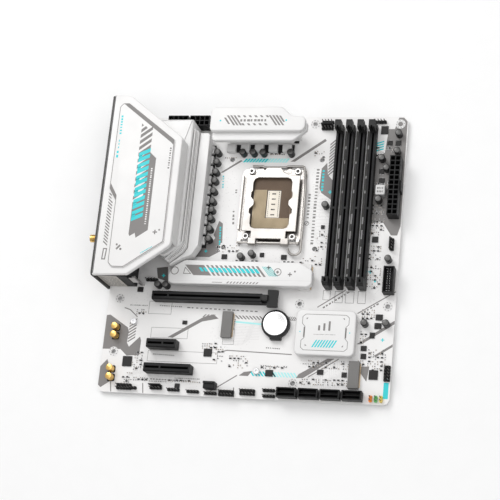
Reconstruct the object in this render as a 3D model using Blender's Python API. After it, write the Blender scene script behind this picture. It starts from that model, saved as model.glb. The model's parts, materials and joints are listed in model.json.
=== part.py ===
"""A micro-ATX motherboard with a tall rear port cover, as separate solids.

Sizes are in millimetres in the board's own layout: x runs from the rear edge to
the front edge, y from the bottom edge to the top edge, and z up from the top
face of the bare board. `world` turns a layout point into metres, with the origin
under the middle of the whole assembly, on the plane that it lies on.
"""

import math

import bmesh
import bpy
from mathutils import Vector

MM = 0.001
SEAT = 0.3  # clearance between touching pieces

# The bare board (micro-ATX) and its mounting holes
BOARD = 243.84
BOARD_THICK = 1.6
BOARD_CORNER = 5.0
HOLE_R = 1.98
LAND_R = 4.2
LAND_PROUD = 0.12
HOLE_REAR = 10.16
HOLE_MIDDLE = HOLE_REAR + 154.94
HOLE_FRONT = HOLE_REAR + 227.33
HOLE_TOP = BOARD - 6.35
HOLE_CENTRE = HOLE_TOP - 157.48
HOLE_LOW = HOLE_TOP - 203.2
HOLE_LOWEST = HOLE_TOP - 223.52
MOUNTING_HOLES = [
    (HOLE_REAR, HOLE_TOP),
    (HOLE_MIDDLE, HOLE_TOP),
    (HOLE_FRONT, HOLE_TOP),
    (HOLE_REAR, HOLE_CENTRE),
    (HOLE_MIDDLE, HOLE_CENTRE),
    (HOLE_FRONT, HOLE_CENTRE),
    (HOLE_REAR, HOLE_LOW),
    (HOLE_MIDDLE, HOLE_LOWEST),
]

# Processor socket, its clamp and its backplate
SOCKET_X, SOCKET_Y = 134.6, 164.8
COOLER_SPACING = 78.0
COOLER_HOLE_R = 2.1
COOLER_Y = SOCKET_Y + 1.3
SOCKET_WIDE, SOCKET_LONG = 41.0, 49.0
SOCKET_WALL = 1.6
SOCKET_FLOOR, SOCKET_TOP = 2.9, 4.6
SOCKET_CORE_WIDE, SOCKET_CORE_LONG = 11.6, 24.4
CLAMP_WIDE, CLAMP_LONG = 55.0, 62.0
CLAMP_SHEET = 1.3
SCREW_DX, SCREW_DY = 19.9, 28.8
SCREW_R = 1.5
SCREW_HEAD_R = 2.9
SCREW_HEAD = 2.3
SCREW_DRIVE_R = 1.2
SCREW_HOLE_R = SCREW_R + SEAT
SCREW_SIDES = 12
HINGE_BAR_R = 1.05
HINGE_BAR_Z = 3.9
HINGE_OUT, SHAFT_OUT = 34.4, 33.1
HOOK_CLEAR = 0.8
CRANK = 0.9
PLATE_WIDE = 46.4
PLATE_SHEET = 1.4
PLATE_NOTCH = (8.2, 6.6)
HOOK_SHEET = 1.1
PLATE_Z = HINGE_BAR_Z + HINGE_BAR_R + 0.5
WINDOW_WIDE, WINDOW_LONG = 33.0, 44.6
WIRE_R = 1.1
LEVER_CLEAR = 1.0
SHAFT_Z = 2.4 + WIRE_R
BACKPLATE_WIDE, BACKPLATE_LONG = 62.0, 92.0
BACKPLATE_THICK = 2.2
BACKPLATE_WINDOW = (30.0, 48.0)

# Rear port shield, port cover and ports
SHIELD_LOW, SHIELD_HIGH = 87.6, 246.3
SHIELD_THICK = 1.2
SHIELD_GAP = 0.6
SHIELD_TOP, SHIELD_FOOT = 44.5, -1.9
COVER_TOP = 45.2
COVER_WALL = 1.8
COVER_SKIRT = 29.0
COVER_EDGE = 4.2  # skirt height over the lower ports, where the cover is cut short
COVER_CUT_Y = 117.5
PANEL_RISE = 1.4
PORT_REACH = 1.0
PORT_DEPTH = 12.0
USB_HOLE = (12.6, 5.2)
JACK_R = 1.75
ANTENNA_R = 3.2
ANTENNA_REACH = 6.2
ANTENNA_Y = 120.6

# Heatsinks
FIN_TOP, TIER_TOP, SINK_FOOT = 28.0, 17.0, 6.0
RIDGE_X, LOW_TIER_X = 66.5, 69.9
RIDGE_TOP, RIDGE_WIDE, RIDGE_DROP = FIN_TOP - 3.4, 1.15, 1.7
TOP_SINK_HIGH, TOP_SINK_STEP, TOP_SINK_SHELF = 30.0, 25.0, 20.0
CHIPSET_SINK = (165.3, 36.0, 214.3, 73.4)
CHIPSET_LOW, CHIPSET_TOP = 3.4, 8.6
CHIPSET_PACKAGE = (25.0, 24.0)

# Memory slots
DIMM_X, DIMM_PITCH, DIMM_COUNT = 188.2, 9.47, 4
DIMM_LOW, DIMM_HIGH = 92.3, 234.4
DIMM_WIDE, DIMM_BODY, DIMM_TOWER = 5.4, 8.6, 19.0
DIMM_TOWER_LONG, DIMM_LATCH_LONG = 6.4, 7.6
DIMM_GROOVE = 1.5
LATCH_CHEEK = 0.9
LATCH_PIVOT_Z = 3.4

# Expansion slots
SLOT_PITCH = 20.32
SLOT_Y = 20.3
SLOT_X = 41.6
SLOT_WIDE, SLOT_TOP, SLOT_GROOVE = 7.4, 11.2, 1.7
X16_LONG, X4_LONG, X1_LONG = 94.0, 39.6, 25.2
SLOT_KEY, SLOT_KEY_WALL = 13.2, 1.6
SLOT_CHEEK = 1.2

# Drives
M2_Y, M2_BOTTOM, M2_TOP = 101.8, 6.4, 13.5
M2_SCREW_X, M2_SCREW_R = 59.9, 2.4
M2_POST = (134.6, 22.4)
M2_SOCKET = (22.0, 8.6, 4.2)
SATA_PITCH, SATA_X, SATA_WIDE = 17.6, 162.1, 16.2
SATA_COUNT = 4

# Power sockets and pin headers
POWER_TOP, POWER_PITCH, POWER_HOLE = 12.6, 4.2, 3.3
PIN_PITCH, PIN_WIDE, PIN_TOP, PIN_BODY = 2.54, 0.7, 8.6, 2.8

# Coin cell
CELL_X, CELL_Y, CELL_R, CELL_THICK = 147.4, 61.6, 10.0, 3.2
CELL_FLOOR, CELL_WALL, CELL_SIDES = 2.2, 1.4, 28

REAR_MOST = -(SHIELD_GAP + SHIELD_THICK + ANTENNA_REACH)
FLOOR = -(BOARD_THICK + SEAT + BACKPLATE_THICK)
MIDDLE = Vector(((BOARD + REAR_MOST) / 2, SHIELD_HIGH / 2, FLOOR))

WHITE = (0.86, 0.87, 0.88)
BLACK = (0.02, 0.02, 0.022)
STEEL = (0.72, 0.71, 0.69)
GOLD = (0.85, 0.62, 0.25)
GREY = (0.30, 0.30, 0.31)
BROWN = (0.16, 0.12, 0.09)
DARK = (0.12, 0.12, 0.125)
SIDES = 20


def world(point):
    """A layout point in millimetres, as a world point in metres."""
    return (Vector(point) - MIDDLE) * MM


def material(name, colour, roughness, metallic=0.0):
    made = bpy.data.materials.new(name)
    made.use_nodes = True
    shader = made.node_tree.nodes["Principled BSDF"]
    shader.inputs["Base Color"].default_value = (*colour, 1.0)
    shader.inputs["Roughness"].default_value = roughness
    shader.inputs["Metallic"].default_value = metallic
    return made


def add_prism(mesh, outline, low, high, axis="Z"):
    """Adds a closed prism: an outline across the axis, from low to high along it."""
    place = {
        "X": lambda u, v, w: (w, u, v),
        "Y": lambda u, v, w: (u, w, v),
        "Z": lambda u, v, w: (u, v, w),
    }[axis]
    base = mesh.faces.new([mesh.verts.new(place(u, v, low)) for u, v in outline])
    top = bmesh.ops.extrude_face_region(mesh, geom=[base])["geom"]
    shift = Vector(place(0, 0, high)) - Vector(place(0, 0, low))
    moved = [piece for piece in top if isinstance(piece, bmesh.types.BMVert)]
    bmesh.ops.translate(mesh, verts=moved, vec=shift)


def rectangle(u0, v0, u1, v1):
    return [(u0, v0), (u1, v0), (u1, v1), (u0, v1)]


def circle(u, v, radius, sides=SIDES):
    angles = [math.tau * i / sides for i in range(sides)]
    return [(u + radius * math.cos(a), v + radius * math.sin(a)) for a in angles]


def rounded(outline, radius, steps=3):
    """The outline with each corner replaced by an arc that is tangent to its two sides."""
    made = []
    count = len(outline)
    for i, corner in enumerate(outline):
        here = Vector(corner)
        before = (Vector(outline[i - 1]) - here).normalized()
        after = (Vector(outline[(i + 1) % count]) - here).normalized()
        half = before.angle(after) / 2
        reach = radius / math.tan(half)
        centre = here + (before + after).normalized() * radius / math.sin(half)
        start = here + before * reach - centre
        end = here + after * reach - centre
        for step in range(steps + 1):
            spoke = start.lerp(end, step / steps).normalized() * radius
            made.append(tuple(centre + spoke))
    return made


def finish(name, mesh, at, look):
    """Makes an object of a mesh in layout millimetres, with its origin at a layout point."""
    bmesh.ops.recalc_face_normals(mesh, faces=mesh.faces)
    for vert in mesh.verts:
        vert.co = (vert.co - Vector(at)) * MM
    data = bpy.data.meshes.new(name)
    mesh.to_mesh(data)
    mesh.free()
    if look:
        data.materials.append(look)
    made = bpy.data.objects.new(name, data)
    made.location = world(at)
    bpy.context.scene.collection.objects.link(made)
    return made


def solid(name, parts, look, at=None):
    """One object from prisms, each (outline, low, high, axis)."""
    mesh = bmesh.new()
    for outline, low, high, axis in parts:
        add_prism(mesh, outline, low, high, axis)
    if at is None:
        at = sum((vert.co for vert in mesh.verts), Vector()) / len(mesh.verts)
    return finish(name, mesh, at, look)


def helper(name, parts):
    """A hidden tool for a Boolean."""
    made = solid(name, parts, None)
    made.hide_render = True
    made.display_type = "WIRE"
    return made


def boolean(target, operation, parts):
    tool = helper(f"{target.name}_{operation.lower()}_{len(target.modifiers)}", parts)
    step = target.modifiers.new(tool.name, "BOOLEAN")
    step.operation = operation
    step.object = tool
    step.solver = "EXACT"


def cut(target, *parts):
    boolean(target, "DIFFERENCE", parts)


def join(target, *parts):
    for part in parts:
        boolean(target, "UNION", [part])


def box(x0, y0, x1, y1, low, high):
    return (rectangle(x0, y0, x1, y1), low, high, "Z")


def block(x, y, wide, long, low, high):
    """A box centred on x, y."""
    return box(x - wide / 2, y - long / 2, x + wide / 2, y + long / 2, low, high)


def disc(x, y, radius, low, high, sides=SIDES):
    return (circle(x, y, radius, sides), low, high, "Z")


def smooth(made):
    made.data.shade_smooth()
    made.data.set_sharp_from_angle(angle=math.radians(35))


def cooler_holes():
    half = COOLER_SPACING / 2
    signs = [(sx, sy) for sx in (-1, 1) for sy in (-1, 1)]
    return [(SOCKET_X + sx * half, COOLER_Y + sy * half) for sx, sy in signs]


def clamp_screws():
    signs = [(sx, sy) for sx in (-1, 1) for sy in (-1, 1)]
    return [(SOCKET_X + sx * SCREW_DX, SOCKET_Y + sy * SCREW_DY) for sx, sy in signs]


def screw_holes(low, high):
    return [disc(x, y, SCREW_HOLE_R, low - 1, high + 1, SCREW_SIDES) for x, y in clamp_screws()]


def make_board(look):
    outline = rounded(rectangle(0, 0, BOARD, BOARD), BOARD_CORNER, 4)
    board = solid("pcb", [(outline, -BOARD_THICK, 0, "Z")], look, (0, 0, 0))
    low, high = -BOARD_THICK - LAND_PROUD, LAND_PROUD
    for x, y in MOUNTING_HOLES + cooler_holes():
        join(board, disc(x, y, LAND_R, low, high))
    holes = [disc(x, y, HOLE_R, low - 1, high + 1) for x, y in MOUNTING_HOLES]
    holes += [disc(x, y, COOLER_HOLE_R, low - 1, high + 1) for x, y in cooler_holes()]
    cut(board, *holes, *screw_holes(low, high))


def make_backplate(look):
    high = -BOARD_THICK - SEAT
    low = high - BACKPLATE_THICK
    outline = rectangle(
        SOCKET_X - BACKPLATE_WIDE / 2, SOCKET_Y - BACKPLATE_LONG / 2,
        SOCKET_X + BACKPLATE_WIDE / 2, SOCKET_Y + BACKPLATE_LONG / 2,
    )
    plate = solid("socket_backplate", [(rounded(outline, 6.0), low, high, "Z")], look)
    window = block(SOCKET_X, SOCKET_Y, *BACKPLATE_WINDOW, low - 1, high + 1)
    cut(plate, window, *screw_holes(low, high))


def make_socket(look):
    """The contact housing: a tray with a low floor and a core opening through it."""
    body = block(SOCKET_X, SOCKET_Y, SOCKET_WIDE, SOCKET_LONG, SEAT, SOCKET_TOP)
    housing = solid("cpu_socket", [body], look)
    tray_wide = SOCKET_WIDE - 2 * SOCKET_WALL
    tray_long = SOCKET_LONG - 2 * SOCKET_WALL
    cut(housing, block(SOCKET_X, SOCKET_Y, tray_wide, tray_long, SOCKET_FLOOR, SOCKET_TOP + 1))
    core = block(SOCKET_X + 1.2, SOCKET_Y, SOCKET_CORE_WIDE, SOCKET_CORE_LONG, -1, SOCKET_TOP)
    cut(housing, core)


def clamp_edges():
    """Left, bottom, right and top of the clamp frame."""
    return (
        SOCKET_X - CLAMP_WIDE / 2, SOCKET_Y - CLAMP_LONG / 2,
        SOCKET_X + CLAMP_WIDE / 2, SOCKET_Y + CLAMP_LONG / 2,
    )


def hinge_y():
    return SOCKET_Y - HINGE_OUT


def shaft_y():
    return SOCKET_Y + SHAFT_OUT


def hook_places():
    """Left and right side of each hinge hook of the load plate."""
    return [(SOCKET_X + centre - 3.4, SOCKET_X + centre + 3.4) for centre in (-13.6, 14.2)]


def make_clamp_frame(look):
    left, bottom, right, top = clamp_edges()
    low, high = SEAT, SEAT + CLAMP_SHEET
    outline = rounded(rectangle(left, bottom, right, top), 3.0)
    frame = solid("ilm_frame", [(outline, low, high, "Z")], look)
    side = SOCKET_WIDE / 2 + SEAT
    end = SOCKET_LONG / 2 + SEAT
    cut(frame, block(SOCKET_X, SOCKET_Y, 2 * side, 2 * end, low - 1, high + 1))
    bar = circle(hinge_y(), HINGE_BAR_Z, HINGE_BAR_R, 10)
    join(
        frame,
        box(left, bottom + 8, left + 1.3, top - 6, low, PLATE_Z - 1.2),
        box(right - 1.3, bottom + 8, right, top - 14, low, high + 0.5),
        (bar, left + 0.6, right - 1.8, "X"),
    )
    add_hinge_ears(frame, low, high)
    saddle = rectangle(top - 3, low, shaft_y() + 1.2, high + 0.5)
    for x in (SOCKET_X - 12.0, SOCKET_X + 12.0):
        join(frame, (saddle, x - 2, x + 2, "X"))
    cut(frame, *screw_holes(low, high))


def add_hinge_ears(frame, low, high):
    """The ears that hold the hinge bar, clear of the load plate's two hooks."""
    left, bottom, right, _ = clamp_edges()
    first, second = hook_places()
    near, far = hinge_y() + 0.9, hinge_y() - 0.6
    bar_top = HINGE_BAR_Z + 0.6
    ear = [
        (far, low), (bottom + 2, low), (bottom + 2, high), (near, high + 1.2),
        (near, bar_top), (far, bar_top),
    ]
    middle = (first[1] + HOOK_CLEAR, second[0] - HOOK_CLEAR)
    for x0, x1 in ((left + 0.5, left + 3.2), middle, (right - 4.0, right - 2.0)):
        join(frame, (ear, x0, x1, "X"))


def window_outline():
    """The load plate's window: rounded corners, a finger on each long side and a bulge beside it."""
    wide, long = WINDOW_WIDE / 2, WINDOW_LONG / 2
    right = [
        (wide - 4, -long), (wide - 1.2, -long + 1.2), (wide, -long + 4), (wide, -10), (wide + 1.6, -8.6),
        (wide + 1.6, -5.4), (wide - 1.8, -1.6), (wide - 1.8, 2.2), (wide + 1.0, 5.4), (wide + 1.0, 9.2),
        (wide, 10.6), (wide, long - 4), (wide - 1.2, long - 1.2), (wide - 4, long),
    ]
    left = [(-x, y) for x, y in reversed(right)]
    return [(SOCKET_X + x, SOCKET_Y - 0.4 + y) for x, y in right + left]


def make_load_plate(look):
    """The plate that presses the processor down. It turns about the hinge bar."""
    y0 = hinge_y() + 2.6
    y1 = shaft_y() - CRANK - WIRE_R - SEAT
    half = PLATE_WIDE / 2
    notch_x, notch_y = PLATE_NOTCH
    nose = 9.0
    right = [
        (half - notch_x, y0), (half - notch_x, y0 + notch_y), (half, y0 + notch_y), (half, y1 - notch_y),
        (half - notch_x, y1 - notch_y), (nose, y1 - 4.0), (nose - 2.6, y1),
    ]
    left = [(-x, y) for x, y in reversed(right)]
    outline = [(SOCKET_X + x, y) for x, y in right + left]
    pivot = (SOCKET_X, hinge_y(), HINGE_BAR_Z)
    top = PLATE_Z + PLATE_SHEET
    plate = solid("load_plate", [(outline, PLATE_Z, top, "Z")], look, pivot)
    outer = hinge_y() - HINGE_BAR_R - 0.5 - HOOK_SHEET
    inner = outer + HOOK_SHEET
    tip = HINGE_BAR_Z - 1.4
    hook = [
        (y0 + 1, PLATE_Z), (y0 + 1, top), (outer + 0.8, top), (outer, top - 0.8),
        (outer, tip), (inner, tip), (inner, PLATE_Z),
    ]
    for x0, x1 in hook_places():
        join(plate, (hook, x0, x1, "X"))
    cut(plate, (window_outline(), PLATE_Z - 1, top + 1, "Z"))


def lever_path():
    """The bent wire: shaft with its crank, arm along the clamp's side, and a finger loop."""
    y = shaft_y()
    arm = SOCKET_X + PLATE_WIDE / 2 + LEVER_CLEAR + WIRE_R
    foot = hinge_y() - 8.6
    points = [
        (SOCKET_X - 19.4, y), (SOCKET_X - 10.8, y), (SOCKET_X - 9.4, y - CRANK),
        (SOCKET_X + 9.4, y - CRANK), (SOCKET_X + 10.8, y), (arm - 1.6, y), (arm - 0.4, y - 0.4),
        (arm, y - 1.6), (arm + 2.2, y - 20), (arm + 2.6, hinge_y() + 16),
    ]
    centre_x = arm - 2.6
    turns = [math.radians(180 * i / 8) for i in range(9)]
    points += [(centre_x + 5.2 * math.cos(a), foot + 3.4 - 4.8 * math.sin(a)) for a in turns]
    points += [(centre_x - 5.6, foot + 2.6)]
    return [(px, py, SHAFT_Z) for px, py in points]


def make_lever(look):
    """The locking lever. It turns about its own shaft."""
    pivot = Vector((SOCKET_X, shaft_y(), SHAFT_Z))
    path = lever_path()
    data = bpy.data.curves.new("socket_lever", "CURVE")
    data.dimensions = "3D"
    data.bevel_depth = WIRE_R * MM
    data.bevel_resolution = 2
    data.use_fill_caps = True
    data.materials.append(look)
    line = data.splines.new("POLY")
    line.points.add(len(path) - 1)
    for point, place in zip(line.points, path):
        point.co = (*((Vector(place) - pivot) * MM), 1.0)
    made = bpy.data.objects.new("socket_lever", data)
    made.location = world(pivot)
    bpy.context.scene.collection.objects.link(made)


def make_clamp_screws(look):
    """Shoulder screws: a head on the frame and a shank down into the backplate."""
    foot = FLOOR + 0.4
    seat = 2 * SEAT + CLAMP_SHEET
    for i, (x, y) in enumerate(clamp_screws(), 1):
        top = seat + SCREW_HEAD
        screw = solid(f"ilm_screw_{i}", [disc(x, y, SCREW_R, foot, seat + 0.5, SCREW_SIDES)], look)
        join(screw, disc(x, y, SCREW_HEAD_R, seat, top, SCREW_SIDES))
        cut(screw, disc(x, y, SCREW_DRIVE_R, top - SCREW_DRIVE_R, top + 1, 6))
        smooth(screw)


def make_shield(look):
    """The plate behind the ports, with a hole for each group of ports."""
    x1 = -SHIELD_GAP
    x0 = x1 - SHIELD_THICK
    outline = rounded(rectangle(SHIELD_LOW, SHIELD_FOOT, SHIELD_HIGH, SHIELD_TOP), 2.5, 3)
    shield = solid("io_shield", [(outline, x0, x1, "X")], look)
    holes = []
    for _, low, high, foot, top, _ in port_blocks():
        hole = rectangle(low - SEAT, foot - SEAT, high + SEAT, top + SEAT)
        holes.append((hole, x0 - 1, x1 + 1, "X"))
    for z in antenna_heights():
        holes.append((circle(ANTENNA_Y, z, ANTENNA_R + SEAT, 16), x0 - 1, x1 + 1, "X"))
    cut(shield, *holes)


def cover_outline():
    rear = -SHIELD_GAP + SEAT
    return [
        (rear, SHIELD_HIGH), (14.8, SHIELD_HIGH - 0.9), (61.0, 209.9), (63.2, 207.7), (64.0, 204.8),
        (64.2, 118.6), (63.4, 115.6), (61.2, 112.1), (29.0, 89.4), (24.5, 87.9), (rear, SHIELD_LOW + 0.2),
    ]


def make_cover(look):
    """The port cover: a thick skin with a skirt, open below and towards the shield."""
    cover = solid("io_cover", [(cover_outline(), COVER_SKIRT, COVER_TOP, "Z")], look)
    wall = COVER_WALL
    hollow = [
        (-5, SHIELD_HIGH - wall), (14.2, SHIELD_HIGH - 0.9 - wall), (62.0 - wall, 207.2),
        (64.0 - wall, 204.0), (64.2 - wall, 118.6), (61.6 - wall, 114.2),
        (28.4, 89.6 + wall), (24.0, 88.0 + wall), (-5, 88.0 + wall),
    ]
    short_skirt = box(-5, SHIELD_LOW - 5, 66, COVER_CUT_Y, COVER_SKIRT - 1, COVER_TOP - COVER_EDGE)
    cut(cover, (hollow, COVER_SKIRT - 1, COVER_TOP - wall, "Z"))
    cut(cover, short_skirt)


def panel_outline():
    return [
        (6.3, 234.6), (9.2, 237.8), (14.4, 237.8), (58.0, 205.0), (58.4, 116.2),
        (26.8, 94.0), (16.4, 94.0), (13.0, 97.6), (12.6, 155.4), (6.2, 166.0),
    ]


def make_panel(look):
    low = COVER_TOP + SEAT
    solid("io_cover_panel", [(panel_outline(), low, low + PANEL_RISE, "Z")], look)


def port_blocks():
    """Each port block: name, low y, high y, foot, top and depth into the board."""
    return [
        ("audio_jack_block", 90.6, 113.4, SEAT, 31.0, 24.0),
        ("lan_usb_port", 128.2, 144.4, SEAT, 30.4, 26.0),
        ("usb_stack_middle", 149.0, 163.4, SEAT, 32.6, 19.0),
        ("usb_stack_high", 167.4, 181.8, SEAT, 32.6, 19.0),
        ("display_port_block", 186.2, 202.8, SEAT, 22.4, 20.0),
        ("usb_stack_top", 210.0, 224.4, SEAT, 16.6, 19.0),
    ]


def port_cavities():
    """The hollow of every port: block name, centre y, centre z, width and height. A jack is round."""
    jacks = [(y, z) for y in (96.6, 107.4) for z in (6.4, 15.6, 24.8)]
    cavities = [("audio_jack_block", y, z, None, JACK_R) for y, z in jacks]
    cavities += [("lan_usb_port", 136.3, 23.0, 11.8, 10.4)]
    cavities += [("lan_usb_port", 136.3, z, *USB_HOLE) for z in (5.6, 12.6)]
    for name, y in (("usb_stack_middle", 156.2), ("usb_stack_high", 174.6)):
        cavities += [(name, y, z, *USB_HOLE) for z in (5.0, 12.4, 19.8, 27.2)]
    cavities += [("display_port_block", 194.5, z, 14.2, 4.9) for z in (6.4, 16.6)]
    cavities += [("usb_stack_top", 217.2, z, *USB_HOLE) for z in (4.9, 12.1)]
    return cavities


def port_face():
    return -(SHIELD_GAP + SHIELD_THICK + PORT_REACH)


def make_ports(steel, white):
    face = port_face()
    for name, low, high, foot, top, depth in port_blocks():
        look = white if name == "audio_jack_block" else steel
        port = solid(name, [(rectangle(low, foot, high, top), face, depth, "X")], look)
        hollows = []
        for owner, y, z, wide, tall in port_cavities():
            if owner != name:
                continue
            if wide is None:
                outline = circle(y, z, tall, 12)
            else:
                outline = rectangle(y - wide / 2, z - tall / 2, y + wide / 2, z + tall / 2)
            hollows.append((outline, face - 1, face + PORT_DEPTH, "X"))
        cut(port, *hollows)


def antenna_heights():
    return (24.4, 37.4)


def make_antennas(look):
    tip = REAR_MOST
    for name, z in zip(("antenna_socket_low", "antenna_socket_high"), antenna_heights()):
        socket = solid(name, [(circle(ANTENNA_Y, z, ANTENNA_R, 16), tip, 7.0, "X")], look)
        cut(socket, (circle(ANTENNA_Y, z, ANTENNA_R - 1.0, 12), tip - 1, tip + 6, "X"))
        smooth(socket)


def make_rear_heatsink(look):
    """Three pieces, each lower than the last: the tall tier, its ridges and the low outer tier."""
    tall = [
        (35.0, 230.8), (62.4, 230.8), (RIDGE_X - SEAT, 226.6), (RIDGE_X - SEAT, 124.6),
        (63.6, 119.4), (52.8, 108.6), (44.0, 116.0), (35.0, 122.0),
    ]
    solid("vrm_heatsink_rear_tall", [(tall, SINK_FOOT, FIN_TOP, "Z")], look)
    inner = [(53.4, 108.6 - SEAT), (64.2 + SEAT, 119.0), (RIDGE_X, 124.4)]
    edge = LOW_TIER_X - SEAT
    foot = [(RIDGE_X, 224.6), (edge, 222.6), (edge, 121.0), (66.8, 116.2), (55.6, 107.2)]
    ridges = solid("vrm_heatsink_rear_ridges", [(foot + inner, SINK_FOOT, RIDGE_TOP, "Z")], look)
    beyond = [(RIDGE_X, 240), (80, 240), (80, 121.0), (66.8, 116.2), (56, 98)]
    for step in (1, 2):
        shifted = [(x + RIDGE_WIDE * step, y) for x, y in beyond + inner]
        level = RIDGE_TOP - RIDGE_DROP * (3 - step)
        cut(ridges, (shifted, level, FIN_TOP + 1, "Z"))
    low = [
        (LOW_TIER_X, 222.8), (77.0, 222.8), (78.6, 221.2), (78.6, 123.4), (73.6, 114.8),
        (66.2, 111.8), (55.4, 105.4), (56.1, 107.0), (67.2, 116.0), (LOW_TIER_X, 120.9),
    ]
    solid("vrm_heatsink_rear_low", [(low, SINK_FOOT, TIER_TOP, "Z")], look)


def make_top_heatsink(look):
    shelf = [
        (84.4, 212.9), (152.6, 212.9), (164.0, 222.4), (164.0, 228.8), (82.8, 228.8), (82.8, 215.4),
    ]
    base = solid("vrm_heatsink_top_base", [(shelf, TOP_SINK_SHELF, TOP_SINK_STEP, "Z")], look)
    join(base, box(89.0, 220.0, 156.0, 228.0, SINK_FOOT, TOP_SINK_SHELF + 1))
    cap = [
        (81.4, 241.4), (143.0, 241.4), (151.6, 233.8), (163.0, 232.4), (163.4, 224.0),
        (159.6, 219.6), (85.4, 219.6), (81.4, 226.0),
    ]
    solid("vrm_heatsink_top_cap", [(rounded(cap, 1.2, 2), TOP_SINK_STEP + SEAT, TOP_SINK_HIGH, "Z")], look)


def dimm_centres():
    return [DIMM_X + DIMM_PITCH * i for i in range(DIMM_COUNT)]


def latch_pivot_y():
    return DIMM_HIGH - 3.4


def make_dimm_slots(look, latch_look):
    """Each slot is one side profile with a card groove; its latch hinges at the top end."""
    latch_start = DIMM_HIGH - DIMM_LATCH_LONG
    profile = [
        (DIMM_LOW, SEAT), (DIMM_HIGH, SEAT), (DIMM_HIGH, 6.2), (latch_start, DIMM_BODY),
        (DIMM_LOW + DIMM_TOWER_LONG, DIMM_BODY), (DIMM_LOW + DIMM_TOWER_LONG, DIMM_TOWER),
        (DIMM_LOW + 1.6, DIMM_TOWER), (DIMM_LOW, DIMM_TOWER - 5.0),
    ]
    key = (DIMM_LOW + DIMM_HIGH) / 2 - 3.0
    for i, x in enumerate(dimm_centres(), 1):
        left, right = x - DIMM_WIDE / 2, x + DIMM_WIDE / 2
        slot = solid(f"dimm_slot_{i}", [(profile, left, right, "X")], look)
        g = DIMM_GROOVE / 2
        cut(
            slot,
            box(x - g, DIMM_LOW + 2.4, x + g, key - 1, 2.2, DIMM_TOWER + 1),
            box(x - g, key + 1, x + g, latch_start - 0.6, 2.2, DIMM_BODY + 1),
            box(left + LATCH_CHEEK, latch_start, right - LATCH_CHEEK, DIMM_HIGH + 1, 1.2, DIMM_BODY + 1),
        )
        make_dimm_latch(i, x, latch_look, latch_start)


def make_dimm_latch(i, x, look, start):
    """A latch between the slot's two cheeks. Its foot turns about a pin low in the slot."""
    half = DIMM_WIDE / 2 - LATCH_CHEEK - SEAT
    pivot_y = latch_pivot_y()
    near, far = pivot_y - 1.7, pivot_y + 1.7
    heel, toe = LATCH_PIVOT_Z - 0.9, LATCH_PIVOT_Z - 1.7
    stem_top = DIMM_BODY + 1.0
    foot = [
        (near, heel), (near + 0.8, toe), (far - 0.8, toe), (far, heel), (far, stem_top), (near, stem_top),
    ]
    pivot = (x, pivot_y, LATCH_PIVOT_Z)
    latch = solid(f"dimm_latch_{i}", [(foot, x - half, x + half, "X")], look, pivot)
    head_low = DIMM_BODY + SEAT
    head = [
        (start, head_low), (DIMM_HIGH - 1.6, head_low), (DIMM_HIGH, DIMM_BODY + 3),
        (DIMM_HIGH, DIMM_TOWER - 0.6), (DIMM_HIGH - 1.2, DIMM_TOWER), (start + 1.0, DIMM_TOWER),
        (start, DIMM_TOWER - 2),
    ]
    head_half = DIMM_WIDE / 2 - 0.2
    join(latch, (head, x - head_half, x + head_half, "X"))
    g = DIMM_GROOVE / 2
    cut(latch, box(x - g, start - 1, x + g, start + 2.2, DIMM_BODY + 1.6, DIMM_TOWER + 1))


def slot_y(index):
    """The middle of an expansion slot, counted up from the lowest."""
    return SLOT_Y + SLOT_PITCH * index


def make_expansion_slot(name, index, long, look):
    y = slot_y(index)
    half = SLOT_WIDE / 2
    bevel = 0.8
    section = [
        (y - half, SEAT), (y + half, SEAT), (y + half, SLOT_TOP - bevel), (y + half - bevel, SLOT_TOP),
        (y - half + bevel, SLOT_TOP), (y - half, SLOT_TOP - bevel),
    ]
    slot = solid(name, [(section, SLOT_X, SLOT_X + long, "X")], look)
    g = SLOT_GROOVE / 2
    key = SLOT_X + SLOT_KEY
    cut(
        slot,
        box(SLOT_X + 1.4, y - g, key, y + g, 3.0, SLOT_TOP + 1),
        box(key + SLOT_KEY_WALL, y - g, SLOT_X + long - 1.4, y + g, 3.0, SLOT_TOP + 1),
    )
    return slot


def make_expansion_slots(look, latch_look):
    make_expansion_slot("pcie_x4_slot", 0, X4_LONG, look)
    make_expansion_slot("pcie_x1_slot", 1, X1_LONG, look)
    long_slot = make_expansion_slot("pcie_x16_slot", 3, X16_LONG, look)
    y = slot_y(3)
    end = SLOT_X + X16_LONG
    cheek_y = (SLOT_WIDE - SLOT_CHEEK) / 2
    for side in (-cheek_y, cheek_y):
        join(long_slot, block(end + 3.0, y + side, 8.0, SLOT_CHEEK, SEAT, 6.6))
    make_slot_latch(y, end, latch_look)


def make_slot_latch(y, end, look):
    """The card latch: a hook against the card and a wide paddle that is pressed down."""
    pivot = (end + 3.4, y, 3.4)
    half = SLOT_WIDE / 2 - SLOT_CHEEK - SEAT
    arm = [
        (end + SEAT, 1.9), (end + 5.6, 1.9), (end + 6.2, 7.2), (end + 5.4, 13.4),
        (end + SEAT, 13.4),
    ]
    latch = solid("pcie_x16_latch", [(arm, y - half, y + half, "Y")], look, pivot)
    paddle = [
        (end + 4.6, 7.2), (end + 13.2, 7.2), (end + 13.2, 9.4), (end + 5.6, 10.6), (end + 4.6, 10.6),
    ]
    join(latch, (paddle, y - 7.2, y + 7.2, "Y"))


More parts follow.
